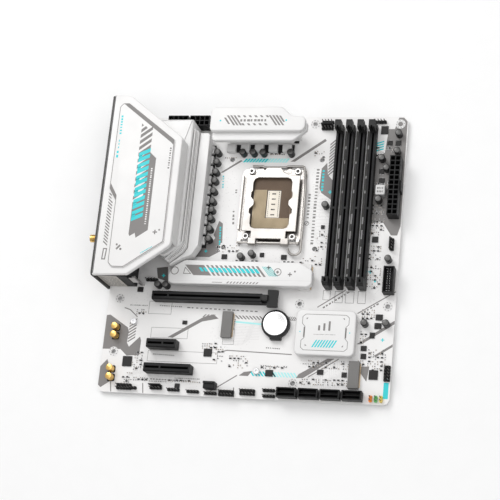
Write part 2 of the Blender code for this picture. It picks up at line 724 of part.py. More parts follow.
def make_m2_heatsink(look, screw_look):
    outline = [
        (54.9, 97.0), (56.3, 104.4), (67.8, 111.4), (164.2, 111.2), (175.6, 104.6),
        (176.6, 94.6), (172.8, 90.9), (58.0, 90.9),
    ]
    x, y, low = M2_SCREW_X, M2_Y, M2_BOTTOM
    sink = solid("m2_heatsink", [(rounded(outline, 1.2, 2), low, M2_TOP, "Z")], look)
    cut(sink, disc(x, y, M2_SCREW_R + SEAT, low - 1, M2_TOP + 1, 14))
    head = disc(x, y, M2_SCREW_R, low + 0.8, M2_TOP - 0.2, 14)
    screw = solid("m2_heatsink_screw", [head], screw_look)
    join(screw, disc(x, y, M2_SCREW_R / 2, SEAT, low + 1.2, 10))
    cut(screw, disc(x, y, 1.0, M2_TOP - 1.4, M2_TOP + 1, 6))


def make_m2_sockets(look, post_look):
    """The sockets of the three card places, each with its slit, and one standing post."""
    long, wide, tall = M2_SOCKET
    places = (
        ("m2_socket_top", 168.6, M2_Y), ("m2_socket_left", 106.4, 59.9), ("m2_socket_right", 214.6, 22.4),
    )
    for name, x, y in places:
        socket = solid(name, [block(x, y, wide, long, SEAT, tall)], look)
        mouth = x - wide / 2
        cut(socket, box(mouth - 1, y - 9.9, mouth + 3.4, y + 9.9, 1.6, 3.0))
    x, y = M2_POST
    post = solid("m2_post", [disc(x, y, 2.6, SEAT, 2.6, 12)], post_look)
    cut(post, disc(x, y, 1.1, 0.9, 4, 8))


def make_cell(holder_look, cell_look):
    """The clock's coin cell, in a round holder that is open on one side."""
    radius = CELL_R + SEAT
    base = disc(CELL_X, CELL_Y, radius + CELL_WALL, SEAT, CELL_FLOOR + 2.4, CELL_SIDES)
    holder = solid("battery_holder", [base], holder_look)
    clip_y = CELL_Y - CELL_R - CELL_WALL
    join(holder, block(CELL_X + 1.0, clip_y, 9.0, 3.6, SEAT, CELL_FLOOR + CELL_THICK))
    cut(holder, disc(CELL_X, CELL_Y, radius, CELL_FLOOR, CELL_FLOOR + 9, CELL_SIDES))
    foot = CELL_FLOOR + SEAT
    cell = solid("coin_cell", [disc(CELL_X, CELL_Y, CELL_R, foot, foot + CELL_THICK, CELL_SIDES)], cell_look)
    smooth(cell)


def make_chipset(look, die_look):
    x0, y0, x1, y1 = CHIPSET_SINK
    outline = rounded(rectangle(x0, y0, x1, y1), 4.2, 4)
    solid("chipset_heatsink", [(outline, CHIPSET_LOW, CHIPSET_TOP, "Z")], look)
    package = block((x0 + x1) / 2, (y0 + y1) / 2, *CHIPSET_PACKAGE, SEAT, CHIPSET_LOW - SEAT)
    solid("chipset_package", [package], die_look)


def make_pin_shroud(name, x0, y0, x1, y1, look, columns, rows):
    """A power socket: a box with one deep square hole per pin."""
    shroud = solid(name, [box(x0, y0, x1, y1, SEAT, POWER_TOP)], look)
    holes = []
    mid_x, mid_y = (x0 + x1) / 2, (y0 + y1) / 2
    for i in range(columns):
        for j in range(rows):
            x = mid_x + (i - (columns - 1) / 2) * POWER_PITCH
            y = mid_y + (j - (rows - 1) / 2) * POWER_PITCH
            holes.append(block(x, y, POWER_HOLE, POWER_HOLE, 4.0, POWER_TOP + 1))
    cut(shroud, *holes)
    return shroud


def make_power(look):
    atx = make_pin_shroud("atx_power_24pin", 232.9, 153.9, 241.9, 205.1, look, 2, 12)
    join(atx, box(241.5, 175.0, 243.3, 184.0, SEAT, 10.6))
    for name, x0 in (("eps_power_left", 38.2), ("eps_power_right", 57.6)):
        make_pin_shroud(name, x0, 231.6, x0 + 17.8, 240.8, look, 4, 2)


def make_sata(look):
    for i in range(SATA_COUNT):
        x = SATA_X + SATA_PITCH * i
        port = solid(f"sata_port_{i + 1}", [block(x, 5.1, SATA_WIDE, 7.8, SEAT, 8.8)], look)
        inner = SATA_WIDE - 2.4
        cut(port, block(x, 3.3, inner, 2.2, 2.0, 10), block(x, 6.45, inner, 3.1, 2.0, 10))


def make_headers(look):
    """The front port header's open box, and the rows of bare pins on their low bodies."""
    x, y, wide, long = 237.8, 100.4, 8.8, 22.0
    shroud = solid("usb3_header", [block(x, y, wide, long, SEAT, 9.4)], look)
    cut(shroud, block(x, y, wide - 2, long - 2, 2.2, 11))
    places = (
        ("front_panel_header", 238.4, 18.6, 2, 5), ("audio_header", 17.2, 2.2, 5, 2),
        ("usb2_header", 122.4, 2.2, 5, 2), ("cpu_fan_header", 171.2, 236.0, 4, 2),
    )
    for name, x0, y0, columns, rows in places:
        body = box(x0, y0, x0 + columns * PIN_PITCH, y0 + rows * PIN_PITCH, SEAT, PIN_BODY)
        header = solid(name, [body], look)
        for i in range(columns):
            for j in range(rows):
                pin_x, pin_y = x0 + (i + 0.5) * PIN_PITCH, y0 + (j + 0.5) * PIN_PITCH
                join(header, block(pin_x, pin_y, PIN_WIDE, PIN_WIDE, 2.0, PIN_TOP))


def main():
    for old in list(bpy.data.objects):
        bpy.data.objects.remove(old, do_unlink=True)
    white = material("white_shell", WHITE, 0.45)
    white_metal = material("white_metal", WHITE, 0.4, 0.3)
    board = material("white_board", WHITE, 0.5)
    black = material("black_plastic", BLACK, 0.55)
    steel = material("bright_steel", STEEL, 0.28, 1.0)
    gold = material("gold_plate", GOLD, 0.3, 1.0)
    grey = material("grey_plastic", GREY, 0.5)
    brown = material("socket_resin", BROWN, 0.5)
    dark = material("dark_metal", DARK, 0.45, 0.4)
    make_board(board)
    make_backplate(steel)
    make_socket(brown)
    make_clamp_frame(steel)
    make_load_plate(steel)
    make_lever(steel)
    make_clamp_screws(steel)
    make_shield(dark)
    make_cover(white)
    make_panel(white)
    make_ports(steel, grey)
    make_antennas(gold)
    make_rear_heatsink(white_metal)
    make_top_heatsink(white_metal)
    make_dimm_slots(black, black)
    make_expansion_slots(black, black)
    make_m2_heatsink(white_metal, steel)
    make_m2_sockets(grey, gold)
    make_cell(black, steel)
    make_chipset(white_metal, grey)
    make_power(black)
    make_sata(black)
    make_headers(black)


main()
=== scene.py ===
# %% [markdown]
# A white micro-ATX motherboard. The imported CAD part is loaded first, as a frame that stays where it
# is: many new pieces take their place from a CAD node's box, the rest from millimetres given on the
# board, and each rides on the body that carries it.

# %% Load the frame
import json
import math

import bmesh
import bpy
import numpy as np
from mathutils import Matrix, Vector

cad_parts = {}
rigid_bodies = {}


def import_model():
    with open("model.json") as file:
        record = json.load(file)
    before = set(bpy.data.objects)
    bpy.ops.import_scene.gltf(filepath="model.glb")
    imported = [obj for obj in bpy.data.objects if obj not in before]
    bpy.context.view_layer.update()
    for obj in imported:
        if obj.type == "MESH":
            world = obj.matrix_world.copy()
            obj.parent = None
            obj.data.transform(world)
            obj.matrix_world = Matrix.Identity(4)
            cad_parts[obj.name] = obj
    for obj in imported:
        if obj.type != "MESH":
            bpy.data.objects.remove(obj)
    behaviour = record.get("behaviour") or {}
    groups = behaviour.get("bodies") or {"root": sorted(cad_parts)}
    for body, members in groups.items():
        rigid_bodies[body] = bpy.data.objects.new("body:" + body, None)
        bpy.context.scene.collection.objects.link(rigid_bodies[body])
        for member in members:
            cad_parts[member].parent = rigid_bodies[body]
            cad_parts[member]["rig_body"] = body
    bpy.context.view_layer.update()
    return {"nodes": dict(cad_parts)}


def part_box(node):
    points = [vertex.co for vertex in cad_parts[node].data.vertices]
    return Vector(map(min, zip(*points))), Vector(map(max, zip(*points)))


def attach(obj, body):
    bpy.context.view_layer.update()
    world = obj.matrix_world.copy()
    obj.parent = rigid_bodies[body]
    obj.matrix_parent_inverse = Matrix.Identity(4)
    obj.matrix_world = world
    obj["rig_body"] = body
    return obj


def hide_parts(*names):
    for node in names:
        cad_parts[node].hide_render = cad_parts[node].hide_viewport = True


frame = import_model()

MM = 0.001
LAND = 0.12
low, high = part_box("pcb")
ORIGIN = np.array([low[0], low[1], high[2] - LAND * MM])
print("bare board", [round((b - a) / MM, 2) for a, b in zip(low, high)], "mm")

# %% [markdown]
# A motherboard is drawn from one corner, so the sizes below are millimetres from the rear bottom
# corner of the bare board: x towards the front edge, y towards the top edge, z above the copper.
# The helpers here turn such millimetres into the frame's metres, and a CAD node's box back again.


# %% Millimetres on the board
def metres(points):
    """Board millimetres as the frame's metres: the board's corner plus a thousandth of each."""
    return ORIGIN + np.asarray(points, float) * MM


def edges(node):
    """Lowest and highest corner of a CAD node, in board millimetres."""
    return [(np.array(corner) - ORIGIN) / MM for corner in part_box(node)]


SOCKET_LOW, SOCKET_HIGH = edges("cpu_socket")
SOCKET_X, SOCKET_Y = (SOCKET_LOW[:2] + SOCKET_HIGH[:2]) / 2
print("socket centre", round(SOCKET_X, 2), round(SOCKET_Y, 2))

# %% [markdown]
# Nearly every part of a board is a profile carried along something: an outline lifted straight up
# with a rounded rim (heatsinks, covers) or a profile turned about an axis (capacitors, screws).
# They could be cubes and cylinders with bevels, but all of them are rings of points, one above the
# other, so one function, `skin`, closes rings into a surface. The rest work out rings as arrays.


# %% Rings into a closed surface
def skin(rings):
    """Quads between each ring and the next, and a flat face on the first and the last: vertex j of
    ring i is number i * k + j, and each quad joins j, j + 1 on two neighbouring rings."""
    rings = np.asarray(rings, float)
    count, k = rings.shape[:2]
    i, j = np.meshgrid(np.arange(count - 1), np.arange(k), indexing="ij")
    after = (j + 1) % k
    quads = np.stack([i * k + j, i * k + after, (i + 1) * k + after, (i + 1) * k + j], -1)
    first, last = np.arange(k)[::-1], np.arange(k) + (count - 1) * k
    return rings.reshape(-1, 3), [*quads.reshape(-1, 4).tolist(), first.tolist(), last.tolist()]


def turned_left(outline):
    """The outline as an array that runs anticlockwise, by the sign of its shoelace area."""
    p = np.asarray(outline, float)
    q = np.roll(p, -1, 0)
    return p if (p[:, 0] * q[:, 1] - q[:, 0] * p[:, 1]).sum() > 0 else p[::-1]


def rounded(outline, radius, steps=4):
    """Each corner becomes an arc that touches both its sides: the centre lies on the bisector at
    radius / sin(half angle), and the arc is the slerp between the two spokes."""
    p = turned_left(outline)
    r = np.broadcast_to(np.asarray(radius, float), (len(p),))[:, None]
    back, on = np.roll(p, 1, 0) - p, np.roll(p, -1, 0) - p
    back /= np.linalg.norm(back, axis=1, keepdims=True)
    on /= np.linalg.norm(on, axis=1, keepdims=True)
    half = np.arccos(np.clip((back * on).sum(1, keepdims=True), -1, 1)) / 2
    middle = back + on
    middle /= np.linalg.norm(middle, axis=1, keepdims=True)
    centre = p + middle * r / np.sin(half)
    start, end = p + back * r / np.tan(half) - centre, p + on * r / np.tan(half) - centre
    t = np.linspace(0, 1, steps + 1)[None, :, None]
    spoke = start[:, None] * (1 - t) + end[:, None] * t
    spoke *= r[:, None] / np.linalg.norm(spoke, axis=2, keepdims=True)
    return (centre[:, None] + spoke).reshape(-1, 2)


def inset(outline, distance):
    """The outline moved inwards by a mitre: both side normals added, over one plus their cosine."""
    p = turned_left(outline)
    side = np.roll(p, -1, 0) - p
    side /= np.linalg.norm(side, axis=1, keepdims=True)
    normal = np.stack([-side[:, 1], side[:, 0]], 1)
    before = np.roll(normal, 1, 0)
    cosine = (normal * before).sum(1, keepdims=True)
    return p + distance * (normal + before) / (1 + cosine)


def at_height(outline, z):
    """The outline as a ring of points that all lie at height z."""
    return np.column_stack([outline, np.full(len(outline), float(z))])


def slab(outline, low, high, rim=0.5, steps=3, foot=0.0):
    """An outline lifted from low to high, with a quarter round of radius rim at the top: the ring at
    angle a is inset by rim (1 - cos a) and raised by rim sin a. A foot chamfers the lower edge."""
    p = turned_left(outline)
    angles = np.linspace(0, math.pi / 2, steps + 1) if rim else [0.0]
    rings = [at_height(inset(p, foot), low), at_height(p, low + foot)] if foot else [at_height(p, low)]
    rings += [at_height(inset(p, rim * (1 - math.cos(a))), high - rim + rim * math.sin(a))
              for a in angles]
    return skin(rings)


def box(x0, y0, x1, y1, low, high, rim=0.12):
    """A slab on a rectangle, with one chamfer of width rim round the top."""
    return slab([(x0, y0), (x1, y0), (x1, y1), (x0, y1)], low, high, rim, 1)


def lathe(x, y, profile, sides=24, lobes=0, depth=0.0):
    """A profile of radius and height turned about a vertical axis: x + r cos t, y + r sin t, z. With
    lobes, the radius also swings by depth times the cosine of lobes t, as in a star drive."""
    r, z = np.asarray(profile, float).T
    t = np.linspace(0, 2 * math.pi, sides, endpoint=False)
    swing = 1 + depth * np.cos(lobes * t)
    wide = r[:, None] * swing
    tall = np.broadcast_to(z[:, None], wide.shape)
    return skin(np.stack([x + wide * np.cos(t), y + wide * np.sin(t), tall], -1))


print("a slab of", len(slab(rounded([(0, 0), (9, 0), (9, 9), (0, 9)], 2), 0, 4)[0]), "points")

# %% [markdown]
# Small parts repeat by the hundred: pins, solder tails, contacts, chips. One shape is worked out
# and then copied with a whole array of offsets, so a row of pins costs one line. `add` joins any
# number of shapes into one named piece, places it, hangs it on the body that carries it and hides
# the CAD nodes it stands for.


# %% Copies and finished pieces
def copies(shape, places):
    """The shape at every place: its points plus each offset, and its faces numbered on."""
    points, faces = shape
    places = np.asarray(places, float).reshape(-1, 3)
    moved = (places[:, None] + points[None]).reshape(-1, 3)
    return moved, [[v + n * len(points) for v in face] for n in range(len(places)) for face in faces]


def grid(x0, y0, pitch_x, pitch_y, columns, rows, z=0.0):
    """Places on a regular grid, as columns by rows."""
    i, j = np.meshgrid(np.arange(columns), np.arange(rows), indexing="ij")
    flat = [x0 + i.ravel() * pitch_x, y0 + j.ravel() * pitch_y, np.full(i.size, z)]
    return np.stack(flat, 1)


def merged(shapes):
    """Many shapes as one: each shape's face numbers start after the points before it."""
    points, faces, start = [], [], 0
    for some_points, some_faces in shapes:
        points.append(some_points)
        faces += [[v + start for v in face] for face in some_faces]
        start += len(some_points)
    return np.concatenate(points), faces


COUNT = {"pieces": 0, "faces": 0}


def add(name, shapes, look, body="board", stands_for=(), crease=38):
    """One named piece from many shapes, smooth where faces meet under the crease angle. It rides on
    the body, and takes the place of the CAD nodes that it stands for."""
    points, faces = merged(shapes)
    data = bpy.data.meshes.new(name)
    data.from_pydata(metres(points).tolist(), [], faces)
    data.shade_smooth()
    data.set_sharp_from_angle(angle=math.radians(crease))
    data.materials.append(look)
    made = bpy.data.objects.new(name, data)
    bpy.context.scene.collection.objects.link(made)
    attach(made, body)
    if stands_for:
        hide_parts(*stands_for)
    COUNT["pieces"] += 1
    COUNT["faces"] += len(faces)
    return made


def refine(node, look, width=0.25, segments=2):
    """A CAD node with its points merged, its flat triangles joined and its edges rounded."""
    source = frame["nodes"][node]
    mesh = bmesh.new()
    mesh.from_mesh(source.data)
    bmesh.ops.remove_doubles(mesh, verts=mesh.verts, dist=2e-6)
    bmesh.ops.dissolve_limit(mesh, angle_limit=0.01, verts=mesh.verts, edges=mesh.edges)
    data = bpy.data.meshes.new(node + "_finished")
    mesh.to_mesh(data)
    mesh.free()
    data.shade_smooth()
    data.set_sharp_from_angle(angle=math.radians(30))
    data.materials.append(look)
    made = bpy.data.objects.new(node + "_finished", data)
    bpy.context.scene.collection.objects.link(made)
    round_off = made.modifiers.new("round_off", "BEVEL")
    round_off.width = width * MM
    round_off.segments = segments
    round_off.limit_method = "ANGLE"
    round_off.angle_limit = math.radians(30)
    made.modifiers.new("even_shading", "WEIGHTED_NORMAL").keep_sharp = True
    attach(made, source["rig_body"])
    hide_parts(node)
    COUNT["pieces"] += 1
    return made


print("helpers ready")

# %% [markdown]
# Finishes share a few effects, so each effect is one shader node group: a fine grain, a slow
# uneven tone with handling marks, and a brushed drag. A group only puts out heights, colours and
# masks: the shader that uses them stays in each material, where an exporter can read it.


# %% Effect groups
def group(name, inputs, outputs):
    """A new node group with its named sockets, and its input and output nodes."""
    made = bpy.data.node_groups.new(name, "ShaderNodeTree")
    for label, kind, value in inputs:
        socket = made.interface.new_socket(label, in_out="INPUT", socket_type="NodeSocket" + kind)
        socket.default_value = value
    for label, kind in outputs:
        made.interface.new_socket(label, in_out="OUTPUT", socket_type="NodeSocket" + kind)
    return made, made.nodes.new("NodeGroupInput"), made.nodes.new("NodeGroupOutput")


def node(tree, kind, **settings):
    """A shader node of one kind, with its settings."""
    made = tree.nodes.new("ShaderNode" + kind)
    for label, value in settings.items():
        setattr(made, label, value)
    return made


def link(tree, *pairs):
    """Join each output to the input it is paired with."""
    for source, target in pairs:
        tree.links.new(source, target)


def grain_group():
    """Moulded or coated grain: two noises, a fine one for the surface and a coarse one for flow."""
    tree, given, out = group(
        "surface_grain", [("Scale", "Float", 4000.0), ("Flow", "Float", 0.3)],
        [("Height", "Float"), ("Mask", "Float")],
    )
    place = node(tree, "TexCoord")
    fine, slow = node(tree, "TexNoise"), node(tree, "TexNoise")
    fine.inputs["Detail"].default_value = 3.0
    slow.inputs["Scale"].default_value = 300.0
    mix = node(tree, "Mix")
    link(
        tree, (place.outputs["Object"], fine.inputs["Vector"]),
        (place.outputs["Object"], slow.inputs["Vector"]),
        (given.outputs["Scale"], fine.inputs["Scale"]), (given.outputs["Flow"], mix.inputs[0]),
        (fine.outputs[0], mix.inputs[2]), (slow.outputs[0], mix.inputs[3]),
        (mix.outputs[0], out.inputs["Height"]), (slow.outputs[0], out.inputs["Mask"]),
    )
    return tree


def handling_group():
    """Tone that drifts over the part, and soft smudges that change both colour and gloss."""
    tree, given, out = group(
        "handling", [("Colour", "Color", (1, 1, 1, 1)), ("Worn", "Color", (0.5, 0.5, 0.5, 1)),
                     ("Amount", "Float", 0.3), ("Scale", "Float", 40.0), ("Rough", "Float", 0.4),
                     ("Spread", "Float", 0.1)],
        [("Colour", "Color"), ("Roughness", "Float")],
    )
    place = node(tree, "TexCoord")
    cloud, ramp = node(tree, "TexNoise"), node(tree, "MapRange")
    cloud.inputs["Detail"].default_value = 6.0
    ramp.inputs["From Min"].default_value = 0.42
    ramp.inputs["From Max"].default_value = 0.72
    share, tone = node(tree, "Math", operation="MULTIPLY"), node(tree, "Mix", data_type="RGBA")
    gloss = node(tree, "Math", operation="MULTIPLY_ADD")
    link(
        tree, (place.outputs["Object"], cloud.inputs["Vector"]),
        (given.outputs["Scale"], cloud.inputs["Scale"]),
        (cloud.outputs[0], ramp.inputs["Value"]), (ramp.outputs[0], share.inputs[0]),
        (given.outputs["Amount"], share.inputs[1]), (share.outputs[0], tone.inputs[0]),
        (given.outputs["Colour"], tone.inputs[6]), (given.outputs["Worn"], tone.inputs[7]),
        (tone.outputs[2], out.inputs["Colour"]), (ramp.outputs[0], gloss.inputs[0]),
        (given.outputs["Spread"], gloss.inputs[1]), (given.outputs["Rough"], gloss.inputs[2]),
        (gloss.outputs[0], out.inputs["Roughness"]),
    )
    return tree


def brushed_group():
    """Fine drag lines: a noise whose place is multiplied by a different number along each axis."""
    tree, given, out = group(
        "brushed", [("Stretch", "Vector", (900.0, 30.0, 900.0))],
        [("Height", "Float"), ("Mask", "Float")],
    )
    place, scaled = node(tree, "TexCoord"), node(tree, "VectorMath", operation="MULTIPLY")
    line = node(tree, "TexNoise")
    line.inputs["Scale"].default_value = 4.0
    line.inputs["Detail"].default_value = 4.0
    link(
        tree, (place.outputs["Object"], scaled.inputs[0]), (given.outputs["Stretch"], scaled.inputs[1]),
        (scaled.outputs[0], line.inputs["Vector"]), (line.outputs[0], out.inputs["Height"]),
        (line.outputs[0], out.inputs["Mask"]),
    )
    return tree


GRAIN, HANDLING, BRUSHED = grain_group(), handling_group(), brushed_group()
print("effect groups:", GRAIN.name, HANDLING.name, BRUSHED.name)

# %% [markdown]
# Every finish is then the same short recipe: one shader, its colour and gloss from the handling
# group, and its bump from grain or brushing. A powder coat is a coarse grain at low height, a
# moulded plastic is finer and deeper, and sheet steel is brushed.


# %% Finishes
def use(tree, effect, **values):
    """An effect group placed in a material, with its own values."""
    made = tree.nodes.new("ShaderNodeGroup")
    made.node_tree = effect
    for label, value in values.items():
        made.inputs[label].default_value = value
    return made


def finish(name, colour, rough, worn=None, metal=0.0, amount=0.35, spread=0.12, scale=60.0,
           grain=5000.0, bump=0.12, brushed=None, coat=0.0, depth=0.02, shine=0.5):
    """One shader. Its colour and gloss come from `handling`, its bump from `grain` or `brushed`."""
    made = bpy.data.materials.new(name)
    made.use_nodes = True
    tree = made.node_tree
    shader = tree.nodes["Principled BSDF"]
    shader.inputs["Metallic"].default_value = metal
    shader.inputs["Coat Weight"].default_value = coat
    shader.inputs["Specular IOR Level"].default_value = shine
    worn = worn or tuple(0.82 * c for c in colour)
    tone = use(tree, HANDLING, Colour=(*colour, 1), Worn=(*worn, 1), Amount=amount, Scale=scale,
               Rough=rough, Spread=spread)
    relief = use(tree, BRUSHED, Stretch=brushed) if brushed else use(tree, GRAIN, Scale=grain)
    rise = node(tree, "Bump")
    rise.inputs["Strength"].default_value = bump
    rise.inputs["Distance"].default_value = depth * MM
    link(
        tree, (tone.outputs["Colour"], shader.inputs["Base Color"]),
        (tone.outputs["Roughness"], shader.inputs["Roughness"]),
        (relief.outputs["Height"], rise.inputs["Height"]), (rise.outputs[0], shader.inputs["Normal"]),
    )
    return made


shell_white = finish("shell_white", (0.79, 0.782, 0.775), 0.42, (0.75, 0.745, 0.74), grain=6000,
                     bump=0.15)
coat_white = finish("coat_white", (0.77, 0.765, 0.76), 0.38, (0.72, 0.715, 0.71), grain=3500,
                    bump=0.3)
moulded_black_and_shade = finish("moulded_black_and_shade", (0.009, 0.009, 0.0095), 0.42, (0.02, 0.02, 0.021), bump=0.35,
                       spread=0.2, shine=0.22)
latch_black = finish("latch_black", (0.018, 0.018, 0.018), 0.45, (0.03, 0.03, 0.03), bump=0.3,
                     shine=0.25)
shield_dark = finish("shield_dark", (0.06, 0.058, 0.056), 0.4, metal=0.6, grain=2500, bump=0.2)
sheet_steel = finish("sheet_steel", (0.44, 0.42, 0.40), 0.27, (0.31, 0.295, 0.28), metal=1.0,
                     spread=0.14,
                     brushed=(900, 60, 900), bump=0.12)
port_steel = finish("port_steel", (0.62, 0.61, 0.6), 0.32, metal=1.0, brushed=(60, 900, 900), bump=0.25)
cell_steel = finish("cell_steel", (0.93, 0.93, 0.93), 0.26, (0.85, 0.85, 0.85), metal=0.75,
                    brushed=(700, 700, 40),
                    bump=0.1)
gold = finish("gold", (0.80, 0.52, 0.17), 0.26, (0.62, 0.36, 0.1), metal=1.0, grain=2500, bump=0.1)
tin = finish("tin", (0.62, 0.62, 0.63), 0.32, (0.42, 0.42, 0.42), metal=1.0, grain=2500, bump=0.4)
pin_dark_and_shade = finish("pin_dark_and_shade", (0.12, 0.115, 0.11), 0.35, metal=0.8, bump=0.1)
chip_epoxy = finish("chip_epoxy", (0.022, 0.021, 0.021), 0.5, (0.04, 0.038, 0.037), grain=7000,
                    bump=0.5, shine=0.25)
can_sleeve = finish("can_sleeve", (0.010, 0.010, 0.0105), 0.3, (0.025, 0.025, 0.025), bump=0.05,
                    shine=0.35)
can_top = finish("can_top", (0.10, 0.098, 0.096), 0.36, (0.2, 0.2, 0.2), metal=0.6,
                 brushed=(900, 900, 40))
choke_grey_and_shade = finish("choke_grey_and_shade", (0.68, 0.675, 0.67), 0.45, (0.5, 0.5, 0.5), grain=3000, bump=0.5)
grey_plastic = finish("grey_plastic", (0.16, 0.155, 0.15), 0.45, bump=0.3)
jack_beige = finish("jack_beige", (0.56, 0.53, 0.49), 0.5, (0.48, 0.45, 0.42), bump=0.3)
resin = finish("resin", (0.05, 0.04, 0.032), 0.5, bump=0.3)
# one contact colour in two copies: the brown one is painted shade, the olive one painted light
contact_painted_shade = finish("contact_painted_shade", (0.17, 0.12, 0.085), 0.45, (0.22, 0.16, 0.115), metal=0.2,
                       amount=0.6, shine=0.3)
contact_painted_light = finish("contact_painted_light", (0.50, 0.41, 0.28), 0.42, (0.36, 0.29, 0.19), metal=0.2,
                       amount=0.6, shine=0.3)
core_beige = finish("core_beige", (0.86, 0.80, 0.70), 0.45, (0.6, 0.54, 0.44), bump=0.3)
ink_grey_and_shade = finish("ink_grey_and_shade", (0.205, 0.195, 0.19), 0.5, (0.24, 0.23, 0.225), bump=0.15)
ink_fine_and_shade = finish("ink_fine_and_shade", (0.13, 0.125, 0.12), 0.5, bump=0.1)
ink_cyan = finish("ink_cyan", (0.02, 0.60, 0.64), 0.45, (0.04, 0.56, 0.6), bump=0.15)
ink_teal = finish("ink_teal", (0.12, 0.55, 0.54), 0.5, bump=0.1)
ink_aqua = finish("ink_aqua", (0.42, 0.86, 0.86), 0.5, bump=0.1)
ink_white_and_light = finish("ink_white_and_light", (0.82, 0.81, 0.80), 0.5, bump=0.1)
ceramic_tan = finish("ceramic_tan", (0.33, 0.24, 0.15), 0.5, (0.25, 0.18, 0.11), bump=0.2)
port_blue = finish("port_blue", (0.03, 0.16, 0.5), 0.45, bump=0.2)
port_red = finish("port_red", (0.5, 0.04, 0.03), 0.45, bump=0.2)
orange = finish("orange", (0.85, 0.25, 0.03), 0.45, bump=0.2)
green = finish("green", (0.12, 0.45, 0.12), 0.45, bump=0.2)
yellow = finish("yellow", (0.8, 0.6, 0.12), 0.45, bump=0.2)
print(len([m for m in bpy.data.materials if m.node_tree]), "finishes")

# %% [markdown]
# The port cover is a thick white skin over the rear ports, open below. A solid with a Solidify
# modifier could make it, but its skirt ends at two heights. So the shell is two nested outlines
# joined at the foot: the outer rings rise and round over to the top, and the inner rings rise to the
# underside of the roof, and the foot's height is chosen point by point.


# %% The port cover and its raised panel
def shell(outline, low, high, rim, wall):
    """A roof with a skirt: inner roof, inner wall, foot, outer wall and rounded rim, as one surface.
    The foot's height is an array, one value for each point of the outline."""
    inner = inset(outline, wall)
    angles = np.linspace(0, math.pi / 2, 6)
    rings = [at_height(inner, high - wall), np.column_stack([inner, low]),
             np.column_stack([outline, low])]
    rings += [at_height(inset(outline, rim * (1 - math.cos(a))), high - rim + rim * math.sin(a))
              for a in angles]
    return skin(rings)


def crossed(outline, y):
    """The outline with a new point wherever a side crosses the level y, by linear interpolation."""
    p = turned_left(outline)
    q = np.roll(p, -1, 0)
    hit = np.flatnonzero((p[:, 1] - y) * (q[:, 1] - y) < 0)
    share = (y - p[hit, 1]) / (q[hit, 1] - p[hit, 1])
    return np.insert(p, hit + 1, p[hit] + share[:, None] * (q[hit] - p[hit]), axis=0)


cover_low, cover_high = edges("io_cover")
_, panel_high = edges("io_cover_panel")
ROOF, PANEL_TOP = cover_high[2], panel_high[2]
rear, far, near = cover_low[0], cover_high[1], cover_low[1]
front = cover_high[0]
CUT_Y, SHORT_SKIRT = 117.5, 4.2
cover_corners = [(rear, far), (14.8, far - 0.9), (front - 0.1, 207.6), (front, 114.2),
                 (29.4, near + 1.0), (rear, near)]
cover_outline = crossed(crossed(rounded(cover_corners, [0.6, 3, 7, 4, 8, 0.6], 6), CUT_Y + 0.6), CUT_Y)
feet = np.where(cover_outline[:, 1] > CUT_Y + 0.3, cover_low[2], ROOF - SHORT_SKIRT)
add("port_cover_shell", [shell(cover_outline, feet, ROOF, 1.2, 1.7)], shell_white,
    stands_for=["io_cover"])

panel_corners = [
    (6.3, 234.6), (9.2, 237.8), (14.4, 237.8), (58.0, 205.0), (58.4, 116.2), (26.8, 94.0),
    (16.4, 94.0), (13.0, 97.6), (12.6, 155.4), (6.2, 166.0),
]
panel_outline = rounded(panel_corners, [2, 1.4, 2, 3, 3, 2.4, 2, 2, 2.5, 2.5], 4)
add("port_cover_panel", [slab(panel_outline, ROOF + 0.1, PANEL_TOP, 0.45, 3)], shell_white,
    stands_for=["io_cover_panel"])
print("cover", round(front - rear, 1), "x", round(far - near, 1), "mm, roof at", round(ROOF, 1))

# %% [markdown]
# Printing on a board or a cover is a film of ink a few hundredths of a millimetre thick. Each mark
# here is its own thin closed film, so it shows in every view and is part of the mesh. The real
# cover carries lettering: it is left out, and plain slanted bars and ticks fill the same places.


# %% Films of ink
INK = 0.05
SINK = 0.02  # a film starts this far under its surface, so that no gap shows


def film(outline, z):
    """A thin closed slab on the outline: it starts just under the level z and stands INK above it."""
    return slab(outline, z - SINK, z + INK, 0)


def films(outlines, z):
    """Films for an array of outlines that share one number of corners."""
    return [film(outline, z) for outline in np.asarray(outlines, float)]


def bars(x0, x1, starts, rise, thick, z):
    """Slanted bars from x0 to x1: each starts at a height y, climbs by rise and is thick along y."""
    y = np.asarray(starts, float)
    one = np.ones_like(y)
    corners = [(x0 * one, y), (x1 * one, y + rise), (x1 * one, y + rise + thick), (x0 * one, y + thick)]
    return films(np.stack([np.stack(c, 1) for c in corners], 1), z)


def uprights(starts, y0, y1, lean, thick, z):
    """Leaning bars between y0 and y1: each starts at x, leans by lean and is thick along x."""
    x = np.asarray(starts, float)
    one = np.ones_like(x)
    corners = [(x, y0 * one), (x + thick, y0 * one), (x + thick + lean, y1 * one), (x + lean, y1 * one)]
    return films(np.stack([np.stack(c, 1) for c in corners], 1), z)


def ticks(start, end, count, size, z, seed=1, fill=0.75):
    """Small generic marks in a row: rectangles along start to end, their lengths drawn at random."""
    draw = np.random.default_rng(seed)
    start, end = np.array(start, float), np.array(end, float)
    step = (end - start) / count
    along = step / np.linalg.norm(step)
    across = np.array([-along[1], along[0]]) * size / 2
    begin = start + np.arange(count)[:, None] * step
    reach = step * (fill * draw.uniform(0.5, 1.0, (count, 1)))
    corners = [begin - across, begin + reach - across, begin + reach + across, begin + across]
    return films(np.stack(corners, 1), z)


def stroke(points, wide, z):
    """A line of even width through the points: its two sides are the points moved along mitres."""
    p = np.asarray(points, float)
    ahead = np.diff(p, axis=0)
    ahead /= np.linalg.norm(ahead, axis=1, keepdims=True)
    normal = np.stack([-ahead[:, 1], ahead[:, 0]], 1)
    before, after = np.vstack([normal[:1], normal]), np.vstack([normal, normal[-1:]])
    reach = (before + after) / (1 + (before * after).sum(1, keepdims=True)) * wide / 2
    return film(np.vstack([p + reach, (p - reach)[::-1]]), z)


